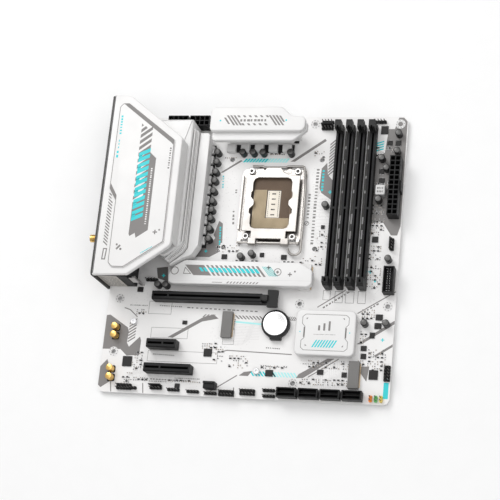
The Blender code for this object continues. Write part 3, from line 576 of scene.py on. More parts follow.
def plus(x, y, arm, thick, z):
    """A plus sign: the outline of two bars of half length arm that cross at x, y."""
    a, t = arm, thick / 2
    return film([(x - t, y - a), (x + t, y - a), (x + t, y - t), (x + a, y - t), (x + a, y + t),
                 (x + t, y + t),
                 (x + t, y + a), (x - t, y + a), (x - t, y + t), (x - a, y + t), (x - a, y - t),
                 (x - t, y - t)], z)


def spot(x, y, radius, z, sides=12):
    """A round film: x + r cos t, y + r sin t."""
    t = np.linspace(0, 2 * math.pi, sides, endpoint=False)
    return film(np.stack([x + radius * np.cos(t), y + radius * np.sin(t)], 1), z)


def hoop(outline, wide, z):
    """A closed line: the space between an outline and the same outline moved inwards, as one band."""
    outer, inner = turned_left(outline), inset(outline, wide)
    rings = np.stack([at_height(inner, z - SINK), at_height(outer, z - SINK), at_height(outer, z + INK),
                      at_height(inner, z + INK)])
    count, k = rings.shape[:2]
    i, j = np.meshgrid(np.arange(count), np.arange(k), indexing="ij")
    after, above = (j + 1) % k, (i + 1) % count
    quads = np.stack([i * k + j, i * k + after, above * k + after, above * k + j], -1)
    return rings.reshape(-1, 3), quads.reshape(-1, 4).tolist()


print("a film of ink is", INK, "mm thick")

# %% [markdown]
# The panel's print: a heavy edge along its slanted top and along the jog on the rear side, a
# ladder of slanted bars that runs into a solid grey band, and bright slanted bars over the band.

# %% Print on the panel and the cover
P = PANEL_TOP  # level of the prints on the raised panel
BAND_X0, BAND_X1, SLOPE = 27.9, 36.6, 7.6
ladder = bars(BAND_X0, BAND_X1 + 1.4, 146.2 + 5.45 * np.arange(12), SLOPE, 3.1, P - 0.01)
band = [(36.4, 190.6), (38.0, 193.6), (43.8, 188.4), (44.1, 125.8), (34.4, 119.0), (33.2, 123.2),
        (29.0, 120.4),
        (28.0, 122.2), (28.1, 147.0), (36.4, 154.6)]
edge = [(9.8, 237.4), (14.2, 237.5), (57.5, 204.9), (57.7, 200.0), (55.0, 202.6), (13.4, 234.4)]
jog = [(6.5, 166.0), (12.8, 155.9), (12.9, 151.4), (6.5, 161.4)]
border = hoop(inset(panel_outline, 0.2), 0.5, P)
tip = film([(27.8, 216.4), (29.6, 217.6), (27.8, 219.4)], P)
small = [tip, border, *ladder, film(band, P), film(edge, P + 0.01), film(jog, P + 0.01)]
small += [film([(27.9, 211.0), (33.2, 215.2), (31.6, 217.0), (27.9, 213.9)], P)]
small += [plus(50.4, 124.2, 1.9, 1.0, P), plus(53.9, 126.1, 0.9, 0.6, P)]
small += [film([(19.4, 108.4), (22.6, 112.0), (21.4, 113.0), (18.4, 109.6)], P),
          spot(22.6, 109.2, 1.0, P),
          spot(19.0, 113.0, 0.9, P)]
add("panel_print_grey", small, ink_grey_and_shade)

bright = []
for start in 133.0 + 10.3 * np.arange(6):
    bright += bars(28.6, 38.2, [start, start + 5.0], 4.4, 3.4, P + INK)
    bright += bars(28.6, 31.6, [start + 3.2], 1.4, 2.2, P + INK)
add("panel_print_bright", bright, ink_cyan)
add("panel_print_pale", ticks((41.2, 130.8), (41.2, 180.4), 26, 1.3, P + INK, 3), ink_white_and_light)
add("panel_print_fine", ticks((55.6, 197.8), (55.4, 178.4), 9, 1.3, P, 4, 0.6), ink_fine_and_shade)
teal = ticks((9.6, 226.6), (9.7, 208.6), 7, 1.7, P, 5) + ticks((9.6, 204.8), (9.6, 195.6), 3, 0.8, P, 6)
teal += ticks((9.4, 194.8), (9.3, 187.8), 2, 1.7, P, 7)
teal += ticks((40.2, 106.0), (50.0, 112.2), 9, 0.9, P, 8)
add("panel_print_teal", teal, ink_cyan)

side_print = bars(6.2, 10.0, 115.4 + 2.62 * np.arange(15), -3.3, 1.35, ROOF)
side_print += bars(6.2, 8.6, [154.7, 157.3], -2.1, 1.2, ROOF)
side_print += [hoop([(6.4, 100.4), (9.8, 100.4), (10.5, 110.2), (6.9, 110.2)], 0.95, ROOF)]
add("cover_print_grey", side_print, ink_grey_and_shade)
print("panel print done at", round(P, 2), "mm")

# %% [markdown]
# The white heatsinks are cast and powder coated: blunt blocks with soft rims. Beside the cover they
# go down in tiers, a tall one, a stair of thin ridges and a low one. The broad ones are outlines
# lifted with a quarter-round rim. The low tier and the ridges have thin pointed ends, which a mitred
# rim would fold over, so those two keep their CAD shape and get a bevel.

# %% Heatsinks round the socket
foot = edges("vrm_heatsink_rear_tall")[0][2]
tall_top = edges("vrm_heatsink_rear_tall")[1][2]
tall = rounded([(35.0, 230.8), (66.2, 230.8), (66.2, 119.8), (52.8, 108.6), (44.0, 116.0),
                (35.0, 122.0)],
               [1, 7, 6, 2, 1, 1], 5)
add("rear_sink_tall", [slab(tall, foot, tall_top, 1.4, 5)], coat_white,
    stands_for=["vrm_heatsink_rear_tall"])
refine("vrm_heatsink_rear_low", coat_white, 0.7, 3)
refine("vrm_heatsink_rear_ridges", coat_white, 0.3)
step_low, step_high = edges("vrm_heatsink_top_base")[0][2], edges("vrm_heatsink_top_base")[1][2]
cap_low, cap_high = edges("vrm_heatsink_top_cap")[0][2], edges("vrm_heatsink_top_cap")[1][2]
SHELF = 20.0  # height where the wide base of the top heatsink begins
base = rounded([(82.8, 212.9), (152.6, 212.9), (164.0, 222.4), (164.0, 228.8), (82.8, 228.8)],
               [3, 5, 3, 1, 1], 5)
add("top_sink_base", [slab(base, SHELF, step_high, 1.2, 4, 0.4),
                      box(89.0, 220.0, 156.0, 228.0, step_low, SHELF)],
    coat_white, stands_for=["vrm_heatsink_top_base"])
cap = rounded([(81.4, 241.4), (142.6, 241.4), (151.6, 233.2),
               (163.4, 232.6), (163.2, 219.6), (81.4, 219.6)], [3.5, 5, 4, 2.5, 5, 4], 5)
add("top_sink_cap", [slab(cap, cap_low, cap_high, 1.4, 5, 0.6)], coat_white,
    stands_for=["vrm_heatsink_top_cap"])
T = cap_high  # level of the prints on the top heatsink
hatch = uprights([95.4, 98.3, 101.2], 233.4, 224.4, 6.6, 1.7, T)
hatch += uprights([93.2], 231.4, 225.6, 4.2, 1.7, T)
hatch += uprights([131.6, 134.5, 137.4], 233.4, 224.4, 6.6, 1.7, T)
hatch += uprights([140.4], 233.0, 227.4, 4.0, 1.7, T)
hatch += uprights(104.4 + 4.9 * np.arange(6), 233.4, 231.6, 1.4, 2.0, T)
hatch += uprights(108.6 + 4.9 * np.arange(5), 226.2, 224.4, 1.4, 2.0, T)
hatch += ticks((107.6, 228.8), (131.4, 228.9), 8, 2.0, T, 2, 0.9)
add("top_sink_print", hatch, ink_grey_and_shade)
add("top_sink_spots", [spot(90.4, 228.7, 0.8, T), spot(147.0, 228.9, 0.8, T)], ink_cyan)
print("heatsinks from", round(foot, 1), "to", round(cap_high, 1), "mm")

# %% [markdown]
# The drive heatsink is one long bar with a cropped end, held by a captive screw. Its step, a thin
# lip, is drawn as a grey line on the flat top: painted shade of the step's face. Its print is a
# slanted grey block that breaks up into bars.

# %% The drive heatsink
sink_low, sink_high = edges("m2_heatsink")
M = sink_high[2]  # level of the prints on the drive heatsink
sink_corners = [(54.9, 91.9), (54.9, 99.4), (58.4, 105.6), (67.8, 111.4), (165.0, 111.2),
                (176.2, 105.0),
                (176.6, 93.4), (172.8, 90.9), (60.0, 90.9)]
sink_outline = rounded(sink_corners, [3.2, 3, 4, 4, 4, 4, 2, 3, 3.2], 5)
add("drive_sink", [slab(sink_outline, sink_low[2], M, 1.0, 4, 0.4)], coat_white, body="m2_cover",
    stands_for=["m2_heatsink"])
screw_low, screw_high = edges("m2_heatsink_screw")
sx, sy = (screw_low[:2] + screw_high[:2]) / 2
r = (screw_high[0] - screw_low[0]) / 2
head = [(r / 2, screw_low[2]), (r / 2, screw_high[2] - 4), (r, screw_high[2] - 4),
        (r, screw_high[2] - 0.4),
        (r - 0.4, screw_high[2]), (1.2, screw_high[2]), (1.1, screw_high[2] - 1.2)]
add("drive_sink_screw", [lathe(sx, sy, head, 24)], port_steel, body="m2_cover",
    stands_for=["m2_heatsink_screw"])
turn = np.linspace(0, 2 * math.pi, 24, endpoint=False)
circle = np.stack([np.cos(turn), np.sin(turn)], 1)
marks = [hoop([sx, sy] + 3.5 * circle, 0.7, M)]
marks += [film([(68.4, 107.1), (84.6, 107.1), (91.9, 98.2), (76.4, 98.2)], M)]
marks += uprights(86.3 + 3.86 * np.arange(12), 107.1, 98.2, 7.4, 2.0, M)
marks += [hoop([(67.4, 99.2), (74.6, 99.2), (68.6, 105.4)], 0.55, M)]
marks += [plus(139.8, 106.2, 1.6, 0.8, M), plus(147.6, 102.6, 1.2, 1.0, M),
          plus(158.0, 100.8, 1.7, 0.9, M),
          spot(162.0, 103.4, 0.8, M), hoop([147.6, 102.6] + 3.2 * circle, 0.6, M)]
marks += uprights(105.2 + 2.75 * np.arange(10), 91.9, 93.5, 1.4, 1.1, M)
marks += bars(93.0, 101.6, [92.4], 0, 0.45, M)
add("drive_sink_print", marks, ink_grey_and_shade, body="m2_cover")
block_starts = 86.0 + 3.86 * np.arange(11)
cyan = uprights(block_starts + 2.4, 104.9, 101.0, 3.2, 2.9, M + 0.01)
cyan += uprights([80.4, 84.0], 104.9, 101.6, 2.6, 2.2, M + INK)
add("drive_sink_bright", cyan, ink_cyan, body="m2_cover")
add("drive_sink_pale", uprights(134.0 + 1.3 * np.arange(6), 106.9, 98.8, 6.9, 0.7, M), ink_teal,
    body="m2_cover")
# a grey line along the step: painted shade of the step's face
lip = stroke([(56.5, 92.9), (84.0, 93.3), (88.0, 95.3), (176.0, 95.7)], 0.28, M - 0.01)
add("drive_sink_step_shade", [lip], choke_grey_and_shade, body="m2_cover")
print("drive heatsink", round(sink_high[0] - sink_low[0], 1), "mm long")

# %% [markdown]
# The chipset heatsink is a low square plate with a printed frame whose sides step inwards. The frame
# is one closed band, mirrored from a quarter outline.

# %% The chipset heatsink
chip_low, chip_high = edges("chipset_heatsink")
C = chip_high[2]  # level of the prints on the chipset heatsink
cx, cy = (chip_low[:2] + chip_high[:2]) / 2
half = (chip_high[:2] - chip_low[:2]) / 2
plate = rounded([(cx - half[0], cy - half[1]), (cx + half[0], cy - half[1]),
                 (cx + half[0], cy + half[1]),
                 (cx - half[0], cy + half[1])], 4.4, 6)
add("chipset_sink", [slab(plate, chip_low[2], C, 1.3, 5, 0.4)], coat_white,
    stands_for=["chipset_heatsink"])
quarter = np.array([(16.6, -15.0), (19.2, -12.8), (19.2, -7.0), (16.8, -4.4)])
right = np.vstack([quarter, quarter[::-1] * [1, -1]])
frame_line = np.vstack([right, right[::-1] * [-1, 1]]) + [cx, cy]
prints = [hoop(frame_line, 0.42, C), film([(cx + 16.6, cy - 4.2), (cx + 17.6, cy - 4.2),
                                           (cx + 17.6, cy + 4.2),
                                           (cx + 16.6, cy + 4.2)], C)]
prints += [film([(cx - 17.6, cy - 4.2), (cx - 16.6, cy - 4.2), (cx - 16.6, cy + 4.2),
                 (cx - 17.6, cy + 4.2)], C)]
prints += bars(cx - 5.8, cx - 4.2, [cy + 1.6], 0, 4.2, C) + bars(cx - 1.6, cx, [cy + 1.6], 0, 6.0, C)
prints += bars(cx + 2.6, cx + 4.2, [cy + 1.6], 0, 7.8, C)
prints += ticks((cx - 9, cy - 1.7), (cx + 9, cy - 1.6), 18, 0.4, C, 9)
corners = np.array([(-15.8, 11.8), (15.4, 12.2), (-15.6, -11.4), (15.6, -11.4)]) + [cx, cy]
for x, y in corners:
    side = 1 if x > cx else -1
    up = 1 if y > cy else -1
    prints.append(film([(x, y), (x - 1.5 * side, y), (x - 0.9 * side, y - 0.6 * up), (x, y - 1.5 * up)],
                       C))
add("chipset_sink_print", prints, ink_grey_and_shade)
add("chipset_sink_bright", uprights(cx - 10.2 + 2.3 * np.arange(8), cy - 12.3, cy - 6.2, 3.4, 1.3, C),
    ink_cyan)
add("chipset_sink_spots", [spot(cx - 20.4, cy + 0.2, 0.5, C), spot(cx + 20.2, cy + 0.3, 0.5, C)],
    ink_cyan)
print("chipset plate", round(2 * half[0], 1), "x", round(2 * half[1], 1), "mm")

# %% [markdown]
# The bare board is the CAD node itself with a solder mask on it: white, slightly glossy, with a
# faint weave. The tracks under a white mask show as low ridges, so they are thin raised lines in
# nearly the same tone. Plated rings and dark dots mark the mounting holes.

# %% The board, its tracks and its plated holes
mask_white = finish("mask_white", (0.842, 0.833, 0.827), 0.4, (0.72, 0.712, 0.708), grain=2600,
                    bump=0.25, scale=25, shine=0.35)
track_white = finish("track_white", (0.66, 0.65, 0.645), 0.36, bump=0.1)
land_grey = finish("land_grey", (0.72, 0.715, 0.71), 0.4, bump=0.2)
ink_soft = finish("ink_soft", (0.20, 0.195, 0.19), 0.5, (0.27, 0.265, 0.26), bump=0.1)


def coat_node(name, look):
    """Give a CAD node a finish of its own, with its shape left alone."""
    data = frame["nodes"][name].data
    data.materials.clear()
    data.materials.append(look)


coat_node("pcb", mask_white)
HOLES = [(10.16, 237.49), (165.1, 237.49), (237.49, 237.49), (10.16, 80.01), (165.1, 80.01),
         (237.49, 80.01),
         (10.16, 34.29), (165.1, 13.97)]
rings = [hoop(np.array(place) + 4.1 * circle, 1.5, LAND) for place in HOLES]
rings += [hoop(np.array(place) + 2.5 * circle, 0.45, LAND) for place in HOLES]
add("hole_lands", rings, land_grey)
dots = [(x + 3.3 * math.cos(a), y + 3.3 * math.sin(a)) for x, y in HOLES for a in turn[::3] + 0.2]
dot = lathe(0, 0, [(0.36, LAND), (0.36, LAND + 0.1)], 8)
add("hole_dots", [copies(dot, [(x, y, 0) for x, y in dots])], pin_dark_and_shade)

rows = 26
fan_y = 128.5 + 3.0 * np.arange(rows)
tracks = []
for k in range(rows):
    start, end = (167.0, SOCKET_Y - 19 + 1.5 * k), (184.0, fan_y[k] + 3)
    bend = abs(end[1] - start[1])
    tracks.append(stroke([start, (168.0 + 0.12 * k, start[1]), (168.0 + 0.12 * k + bend * 0.55, end[1]),
                          end], 0.22, 0.0))
for k in range(18):
    x = 24.0 + 1.1 * k
    tracks.append(stroke([(x, 10.5), (x, 13.0 + 0.35 * k), (x + 6.0, 19.0 + 0.35 * k), (x + 6.0, 36.0)],
                         0.2, 0.0))
for k in range(24):
    x = 172.5 + 1.5 * k
    tracks.append(stroke([(x, 11.5), (x, 16.0 + 0.5 * (k % 12)), (x + 4, 20.0 + 0.5 * (k % 12)),
                          (x + 4, 34.5)], 0.2, 0.0))
for k in range(14):
    y = 44.0 + 1.3 * k
    tracks.append(stroke([(104.0, y), (120.0 + 0.4 * k, y), (126.0 + 0.4 * k, y + 5), (134.0, y + 5)],
                         0.2, 0.0))
add("tracks", tracks, track_white)
draw = np.random.default_rng(11)
areas = [(86, 122, 108, 205, 90), (165, 128, 184, 200, 60), (92, 30, 128, 60, 80),
         (170, 14, 218, 34, 90),
         (216, 80, 243, 125, 60), (20, 8, 92, 18, 60), (20, 70, 60, 90, 50), (110, 116, 165, 128, 60)]
via_places = [np.column_stack([draw.uniform(a, c, n), draw.uniform(b, d, n), np.zeros(n)]) for a, b, c,
              d, n in areas]
via = lathe(0, 0, [(0.3, -0.02), (0.3, 0.05)], 8)
add("vias", [copies(via, np.vstack(via_places))], track_white)
print(len(tracks), "tracks")

# %% [markdown]
# The mask carries a bold two-tone print: grey slashes that run on from one part to the next, and
# patches of cyan hatching. A dark film under the port cover's overhang is painted shade. All of it
# is the same film as before.

# %% Print on the board
G = 0.02  # level of the prints on the board, just clear of its lacquer
grey = [film([(86.0, 193.4), (88.4, 193.4), (104.5, 204.0), (103.0, 204.9)], G),
        film([(146.3, 203.6), (150.2, 203.6), (176.0, 222.4), (174.6, 224.2)], G),
        film([(178.0, 202.6), (173.8, 197.6), (173.1, 180.3), (175.2, 175.9), (184.3, 169.7),
              (184.0, 187.0),
              (179.4, 192.0)], G),
        film([(89.6, 150.3), (93.0, 147.7), (94.5, 124.5), (86.0, 137.6)], G),
        film([(79.2, 129.2), (77.7, 126.5), (65.2, 118.1), (84.2, 118.1), (93.0, 123.2), (91.1, 141.1),
              (86.0, 132.0)], G),
        film([(55.9, 48.2), (60.4, 47.9), (84.0, 62.4), (98.0, 65.4), (93.3, 68.8), (84.8, 66.2)], G),
        film([(214.5, 48.2), (218.4, 48.2), (243.9, 65.6), (243.9, 68.6)], G),
        film([(228.4, 38.8), (231.4, 38.8), (243.6, 47.0), (243.6, 49.2)], G),
        film([(167.4, 18.5), (173.2, 18.7), (197.7, 35.6), (191.9, 35.4), (169.6, 21.9)], G),
        film([(119.9, 18.5), (123.9, 21.6), (130.6, 22.7), (127.6, 18.4)], G),
        film([(219.6, 30.1), (226.1, 30.4), (224.6, 18.0), (219.1, 25.1)], G),
        film([(0.3, 65.1), (3.4, 65.7), (20.2, 55.2), (21.5, 51.7), (21.0, 42.1), (23.2, 38.7),
              (31.9, 47.7),
              (33.2, 44.3), (33.0, 32.1), (22.0, 31.2), (16.0, 36.5), (0.3, 36.2)], G),
        film([(5.7, 27.5), (0.3, 21.2), (0.3, 5.6), (2.6, 3.6), (5.9, 5.9), (12.5, 10.5)], G),
        film([(228.0, 233.0), (233.0, 233.0), (236.0, 243.2), (240.0, 243.2), (243.2, 239.8),
              (243.2, 148.0),
              (241.0, 140.0), (236.0, 140.0), (228.0, 152.0), (219.0, 150.0), (219.0, 207.0),
              (226.0, 212.0)], G)]
grey += bars(179.4, 184.2, 190.6 + 2.75 * np.arange(11), 4.6, 1.5, G)
grey += uprights(111.6 + 2.9 * np.arange(8), 68.6, 65.6, 3.2, 1.5, G)
grey += uprights(156.6 + 1.6 * np.arange(4), 69.0, 65.6, 2.4, 0.9, G)
grey += bars(21.5, 27.6, 42.4 + 2.6 * np.arange(7), 4.2, 1.2, G)
grey += uprights(84.0 + 2.6 * np.arange(4), 66.4, 68.6, 2.2, 1.3, G)
grey += [stroke(line, 0.8, G) for line in (
    [(92.1, 1.0), (118.5, 18.6)], [(177.3, 19.7), (201.0, 35.4)], [(180.0, 77.6), (202.4, 92.8)],
    [(213.4, 73.5), (243.4, 92.6)], [(10.9, 8.7), (12.1, 0.4)], [(39.0, 8.7), (40.1, 0.4)],
    [(116.6, 8.4), (117.5, 0.4)],
    [(102.0, 37.2), (108.3, 39.0), (162.3, 37.6)], [(15.2, 72.2), (20.4, 70.6), (27.5, 64.6)])]
grey += ticks((184.7, 77.3), (205.8, 91.7), 9, 1.2, G, 21)
grey += ticks((216.4, 73.6), (230.6, 82.6), 6, 1.2, G, 22)
grey += [hoop(np.array([(x0, y0), (x1, y0), (x1, y1), (x0, y1)]), 0.35, G) for x0, y0, x1, y1 in (
    (183.8, 83.9, 190.0, 92.0), (193.6, 81.8, 200.3, 91.6), (202.4, 81.8, 209.5, 91.6),
    (212.5, 81.8, 219.1, 92.0))]
lifted = [(points + [0, 0, 0.006 * n], faces) for n,
          (points, faces) in enumerate(grey[:15])] + grey[15:]
add("board_print_grey", lifted, ink_grey_and_shade)
fine = ticks((170.8, 131.0), (170.8, 198.6), 24, 2.3, G, 31, 0.62)
fine += ticks((165.4, 153.6), (165.4, 176.4), 8, 1.9, G, 32, 0.6)
fine += ticks((101.6, 178.2), (101.7, 174.2), 2, 1.5, G, 33)
fine += ticks((101.2, 159.2), (102.1, 146.0), 4, 1.5, G, 34)
fine += [hoop(np.array([164.9, 149.2]) + 2.0 * circle, 0.5, G),
         stroke([(163.8, 148.2), (166.0, 150.2)], 0.6, G)]
fine += ticks((66.0, 14.0), (88.0, 14.0), 14, 0.8, G, 35)
fine += ticks((142.0, 26.8), (160.0, 26.8), 9, 0.8, G, 36)
fine += ticks((44.0, 10.6), (60.0, 10.6), 10, 0.8, G, 37)
fine += ticks((20.0, 74.6), (36.0, 74.6), 9, 0.8, G, 38)
fine += ticks((172.0, 30.4), (186.0, 30.4), 9, 0.8, G, 39)
fine += ticks((104.0, 69.9), (111.0, 69.9), 5, 0.7, G, 40)
for x, y, wide, tall in ((41.0, 47.2, 32.0, 9.0), (40.4, 27.2, 60.0, 9.4), (36.6, 67.6, 20.0, 11.0),
                         (103.2, 43.8, 9.6, 13.0)):
    fine.append(hoop(np.array([(x, y), (x + wide, y), (x + wide, y + tall), (x, y + tall)]), 0.28, G))
for start, end, count, seed in (((46.0, 75.0), (66.0, 74.4), 12, 71),
                                ((70.0, 74.0), (132.0, 72.4), 16, 72),
                                ((45.0, 33.4), (64.0, 32.8), 11, 73),
                                ((45.0, 12.4), (80.0, 12.0), 14, 74),
                                ((112.0, 57.0), (112.2, 66.0), 6, 75),
                                ((152.0, 42.0), (140.0, 42.4), 8, 76)):
    fine += ticks(start, end, count, 0.9, G, seed)
add("board_print_fine", fine, ink_soft)
# a dark film on the board under the cover's overhang: painted shade
dark = [film([(39.4, 107.6), (49.2, 108.8), (50.7, 95.4), (41.3, 98.7)], G)]
add("under_cover_painted_shade", dark, ink_fine_and_shade)
cyan = uprights(104.8 + 2.6 * np.arange(8), 202.8, 206.2, 2.6, 2.0, G)
cyan += ticks((175.6, 177.6), (175.6, 197.4), 7, 1.8, G + INK, 41)
cyan += uprights(128.6 + 2.6 * np.arange(8), 22.6, 18.6, 3.0, 1.5, G)
cyan += [plus(182.5, 176.8, 1.6, 0.9, G + INK)]
cyan += [film([(238.6, 4.9), (242.6, 4.9), (242.6, 17.9), (238.6, 17.9)], G)]
cyan += [plus(221.3, 108.8, 1.6, 0.9, G), plus(235.2, 52.4, 1.4, 0.8, G),
         plus(80.7, 123.2, 1.3, 0.8, G + INK)]
cyan += ticks((91.2, 144.9), (92.3, 125.5), 8, 1.4, G + INK, 42)
cyan += ticks((89.0, 190.6), (89.7, 178.6), 5, 1.2, G, 43)
cyan += bars(219.0, 224.8, 213.0 + 2.2 * np.arange(4), 1.8, 1.2, G)
cyan += [film([(239.0, 217.8), (243.3, 218.2), (241.5, 213.3)], G)]
cyan += bars(1.0, 5.2, 41.4 + 2.2 * np.arange(7), 2.0, 1.2, G + INK)
cyan += [film([(30.6, 44.2), (32.3, 44.3), (32.5, 32.1)], G + INK)]
cyan += [plus(46.2, 101.0, 1.5, 0.9, G + INK), spot(225.6, 100.6, 0.8, G)]
cyan += bars(2.8, 7.4, 40.5 + 2.3 * np.arange(7), -2.2, 1.1, G + INK)
add("board_print_cyan", cyan, ink_cyan)
aqua = uprights(146.4 + 2.6 * np.arange(8), 22.6, 18.6, 3.0, 1.5, G)
aqua += [stroke([(112.7, 63.2), (134.5, 61.9)], 1.4, G)]
aqua += uprights(125.6 + 2.6 * np.arange(7), 202.8, 206.4, 2.6, 1.9, G)
add("board_print_aqua", aqua, ink_aqua)
print("board print done")

# %% [markdown]
# The processor socket: a dark resin frame carries more than a thousand sprung contacts. Each one is
# only a leaning finger of six faces, copied over a grid with the core left out. Two contact fields
# lean in opposite ways, and one is coloured darker as painted shade, the other lighter as painted
# light. Inside the core sits a pale block with small chips.

# %% Socket contacts and core
coat_node("cpu_socket", resin)
socket_floor = 2.9  # the height that the contacts stand on
bed_low, bed_high = socket_floor - 0.4, socket_floor + 0.15
FINGER = [at_height([(-0.19, -0.17), (0.19, -0.17), (0.19, 0.17), (-0.19, 0.17)], socket_floor),
          at_height([(0.16, -0.13), (0.46, -0.13), (0.46, 0.13), (0.16, 0.13)], socket_floor + 0.9)]
finger = skin(FINGER)
leaning = (finger[0] * [-1, -1, 1], finger[1])
field = grid(SOCKET_X - 15.2, SOCKET_Y - 22.0, 0.98, 0.84, 32, 53)
dx, dy = field[:, 0] - SOCKET_X, field[:, 1] - SOCKET_Y
in_core = (np.abs(dx - 1.2) < 6.4) & (np.abs(dy) < 12.9)
# the field that is coloured darker, as painted shade
painted_shade_side = (dy > 12.2) | (dx > 7.0) & (dy > -12.6)
add("contacts_painted_shade", [copies(leaning, field[painted_shade_side & ~in_core])], contact_painted_shade)
add("contacts_painted_light", [copies(finger, field[~painted_shade_side & ~in_core])], contact_painted_light)


def bed(x0, y0, x1, y1):
    """A thin plate under a field of contacts, between corners given from the socket's centre."""
    return box(SOCKET_X + x0, SOCKET_Y + y0, SOCKET_X + x1, SOCKET_Y + y1, bed_low, bed_high, 0)


# plates under the two fields, in the same painted shade and painted light
add("contact_bed_painted_shade", [bed(-16.2, 12.3, 16.6, 23.2), bed(7.4, -12.6, 16.6, 12.3)], contact_painted_shade)
add("contact_bed_painted_light", [bed(-16.2, -12.6, -5.0, 12.3), bed(-16.2, -23.2, 16.6, -12.6)], contact_painted_light)
core_x, core_y = SOCKET_X + 1.2, SOCKET_Y - 0.1
add("core_block", [box(core_x - 5.7, core_y - 12.0, core_x + 5.7, core_y + 12.0, 0.2, 2.75, 0.25)],
    core_beige)
core_top = 2.7
core_places = grid(core_x - 0.2, core_y - 9.4, 0, 4.6, 1, 5)
small = [copies(box(left, -0.5, right, 0.5, core_top, core_top + 0.3, 0.08), core_places)
         for left, right in ((-1.5, -0.5), (-0.3, 0.5), (0.8, 1.6))]
for side, w, d in ((4.3, 0.25, 0.45), (-4.3, 0.2, 0.35)):
    column = grid(core_x + side, core_y - 10.4, 0, 1.74, 1, 13)
    small.append(copies(box(-w, -d, w, d, core_top, core_top + 0.25, 0.06), column))
add("core_chips", small, chip_epoxy)
print(len(field[~in_core]), "contacts")

# %% [markdown]
# The clamp is stamped and bent sheet, plated bright: a frame, a plate that lifts on two hooks, and
# a sprung lever of round wire. All three fit closely, so they keep the CAD shape and only get their
# edges rounded. The screws are turned profiles, with a six-lobed recess in each head that is coloured
# dark as painted shade.

# %% The clamp, its lever and its screws
refine("ilm_frame", sheet_steel, 0.3)
refine("load_plate", sheet_steel, 0.45, 3)
refine("socket_lever", sheet_steel, 0.25)
refine("socket_backplate", pin_dark_and_shade, 0.3)
for n in range(1, 5):
    a, b = edges(f"ilm_screw_{n}")
    x, y = (a[:2] + b[:2]) / 2
    top, wide = b[2], (b[0] - a[0]) / 2
    screw = [(1.4, a[2]), (1.4, top - 2.3), (wide, top - 2.3), (wide, top - 0.6), (wide - 0.5, top),
             (1.5, top), (1.2, top - 1.1)]
    recess = [(1.25, top - 1.1), (1.25, top - 0.35), (0.1, top - 0.9)]
    add(f"clamp_screw_{n}", [lathe(x, y, screw, 36)], port_steel, stands_for=[f"ilm_screw_{n}"])
    # the recess is coloured near black: painted shade inside the screw head
    add(f"clamp_recess_painted_shade_{n}", [lathe(x, y, recess, 36, 6, 0.16)], pin_dark_and_shade)
print("clamp done")

# %% [markdown]
# Memory slots, card slots and plug sockets are moulded black. They keep their CAD shape, which has
# the real grooves and latches, and every edge gets a small round so that it catches light. Rows of
# gold contacts go down each groove, and solder tails stand out under the board.

# %% Slots and their contacts
for n in range(1, 5):
    refine(f"dimm_slot_{n}", moulded_black_and_shade, 0.22)
    refine(f"dimm_latch_{n}", latch_black, 0.22)
for name in ("pcie_x16_slot", "pcie_x4_slot", "pcie_x1_slot"):
    refine(name, moulded_black_and_shade, 0.22)
refine("pcie_x16_latch", latch_black, 0.2)
blade = box(-0.16, -0.2, 0.16, 0.2, 2.4, 7.6, 0)
CHEEKS = 7.0  # the long slot's cheeks reach this far past its end, round the latch
tails, blades = [], []
tail_shape = box(-0.18, -0.18, 0.18, 0.18, -2.9, -1.58, 0.06)
for n in range(1, 5):
    a, b = edges(f"dimm_slot_{n}")
    x = (a[0] + b[0]) / 2
    runs = np.concatenate([np.arange(a[1] + 9, 158.0, 1.7), np.arange(164.0, b[1] - 9, 1.7)])
    blades += [copies(blade, np.stack([np.full(len(runs), x + s * 1.05), runs, 0 * runs], 1))
               for s in (-1, 1)]
    tails += [copies(tail_shape, np.stack([np.full(len(runs), x + s), runs, 0 * runs], 1))
              for s in (-1.6, 1.6)]
for name in ("pcie_x16_slot", "pcie_x4_slot", "pcie_x1_slot"):
    a, b = edges(name)
    y = (a[1] + b[1]) / 2
    end = b[0] - (CHEEKS if name == "pcie_x16_slot" else 0)
    runs = np.arange(a[0] + 4.0, end - 3.0, 2.0)
    blades += [copies(blade, np.stack([runs, np.full(len(runs), y + s), 0 * runs], 1))
               for s in (-1.25, 1.25)]
    tails += [copies(tail_shape, np.stack([runs, np.full(len(runs), y + s), 0 * runs], 1))
              for s in (-1.8, 1.8)]
add("slot_blades", blades, gold)
print(len(blades), "rows of contacts")

# %% [markdown]
# The storage ports lie along the lower edge, and the power sockets along the top and front edges.
# Their moulded shells are CAD nodes already, so only rounded edges and the pins inside are new: each
# pin is a square post on the same pitch as the holes, and its solder tail comes out under the board.

# %% Plug sockets
for n in range(1, 5):
    refine(f"sata_port_{n}", moulded_black_and_shade, 0.25)
for name in ("atx_power_24pin", "eps_power_left", "eps_power_right", "usb3_header"):
    refine(name, moulded_black_and_shade, 0.22)
pin_deep = box(-0.35, -0.35, 0.35, 0.35, 2.6, 6.4, 0.12)
a, b = edges("atx_power_24pin")
x, y = (a[:2] + b[:2]) / 2
places = grid(x - 2.1, y - 23.1, 4.2, 4.2, 2, 12)
deep = [copies(pin_deep, places)]
tails.append(copies(tail_shape, places))
for name in ("eps_power_left", "eps_power_right"):
    a, b = edges(name)
    x, y = (a[:2] + b[:2]) / 2
    places = grid(x - 6.3, y - 2.1, 4.2, 4.2, 4, 2)
    deep.append(copies(pin_deep, places))
    tails.append(copies(tail_shape, places))
a, b = edges("usb3_header")
x, y = (a[:2] + b[:2]) / 2
places = grid(x - 1.0, y - 9.0, 2.0, 2.0, 2, 10)
deep.append(copies(box(-0.25, -0.25, 0.25, 0.25, 1.6, 7.6, 0.08), places))
tails.append(copies(tail_shape, places))
add("power_pins", deep, tin)
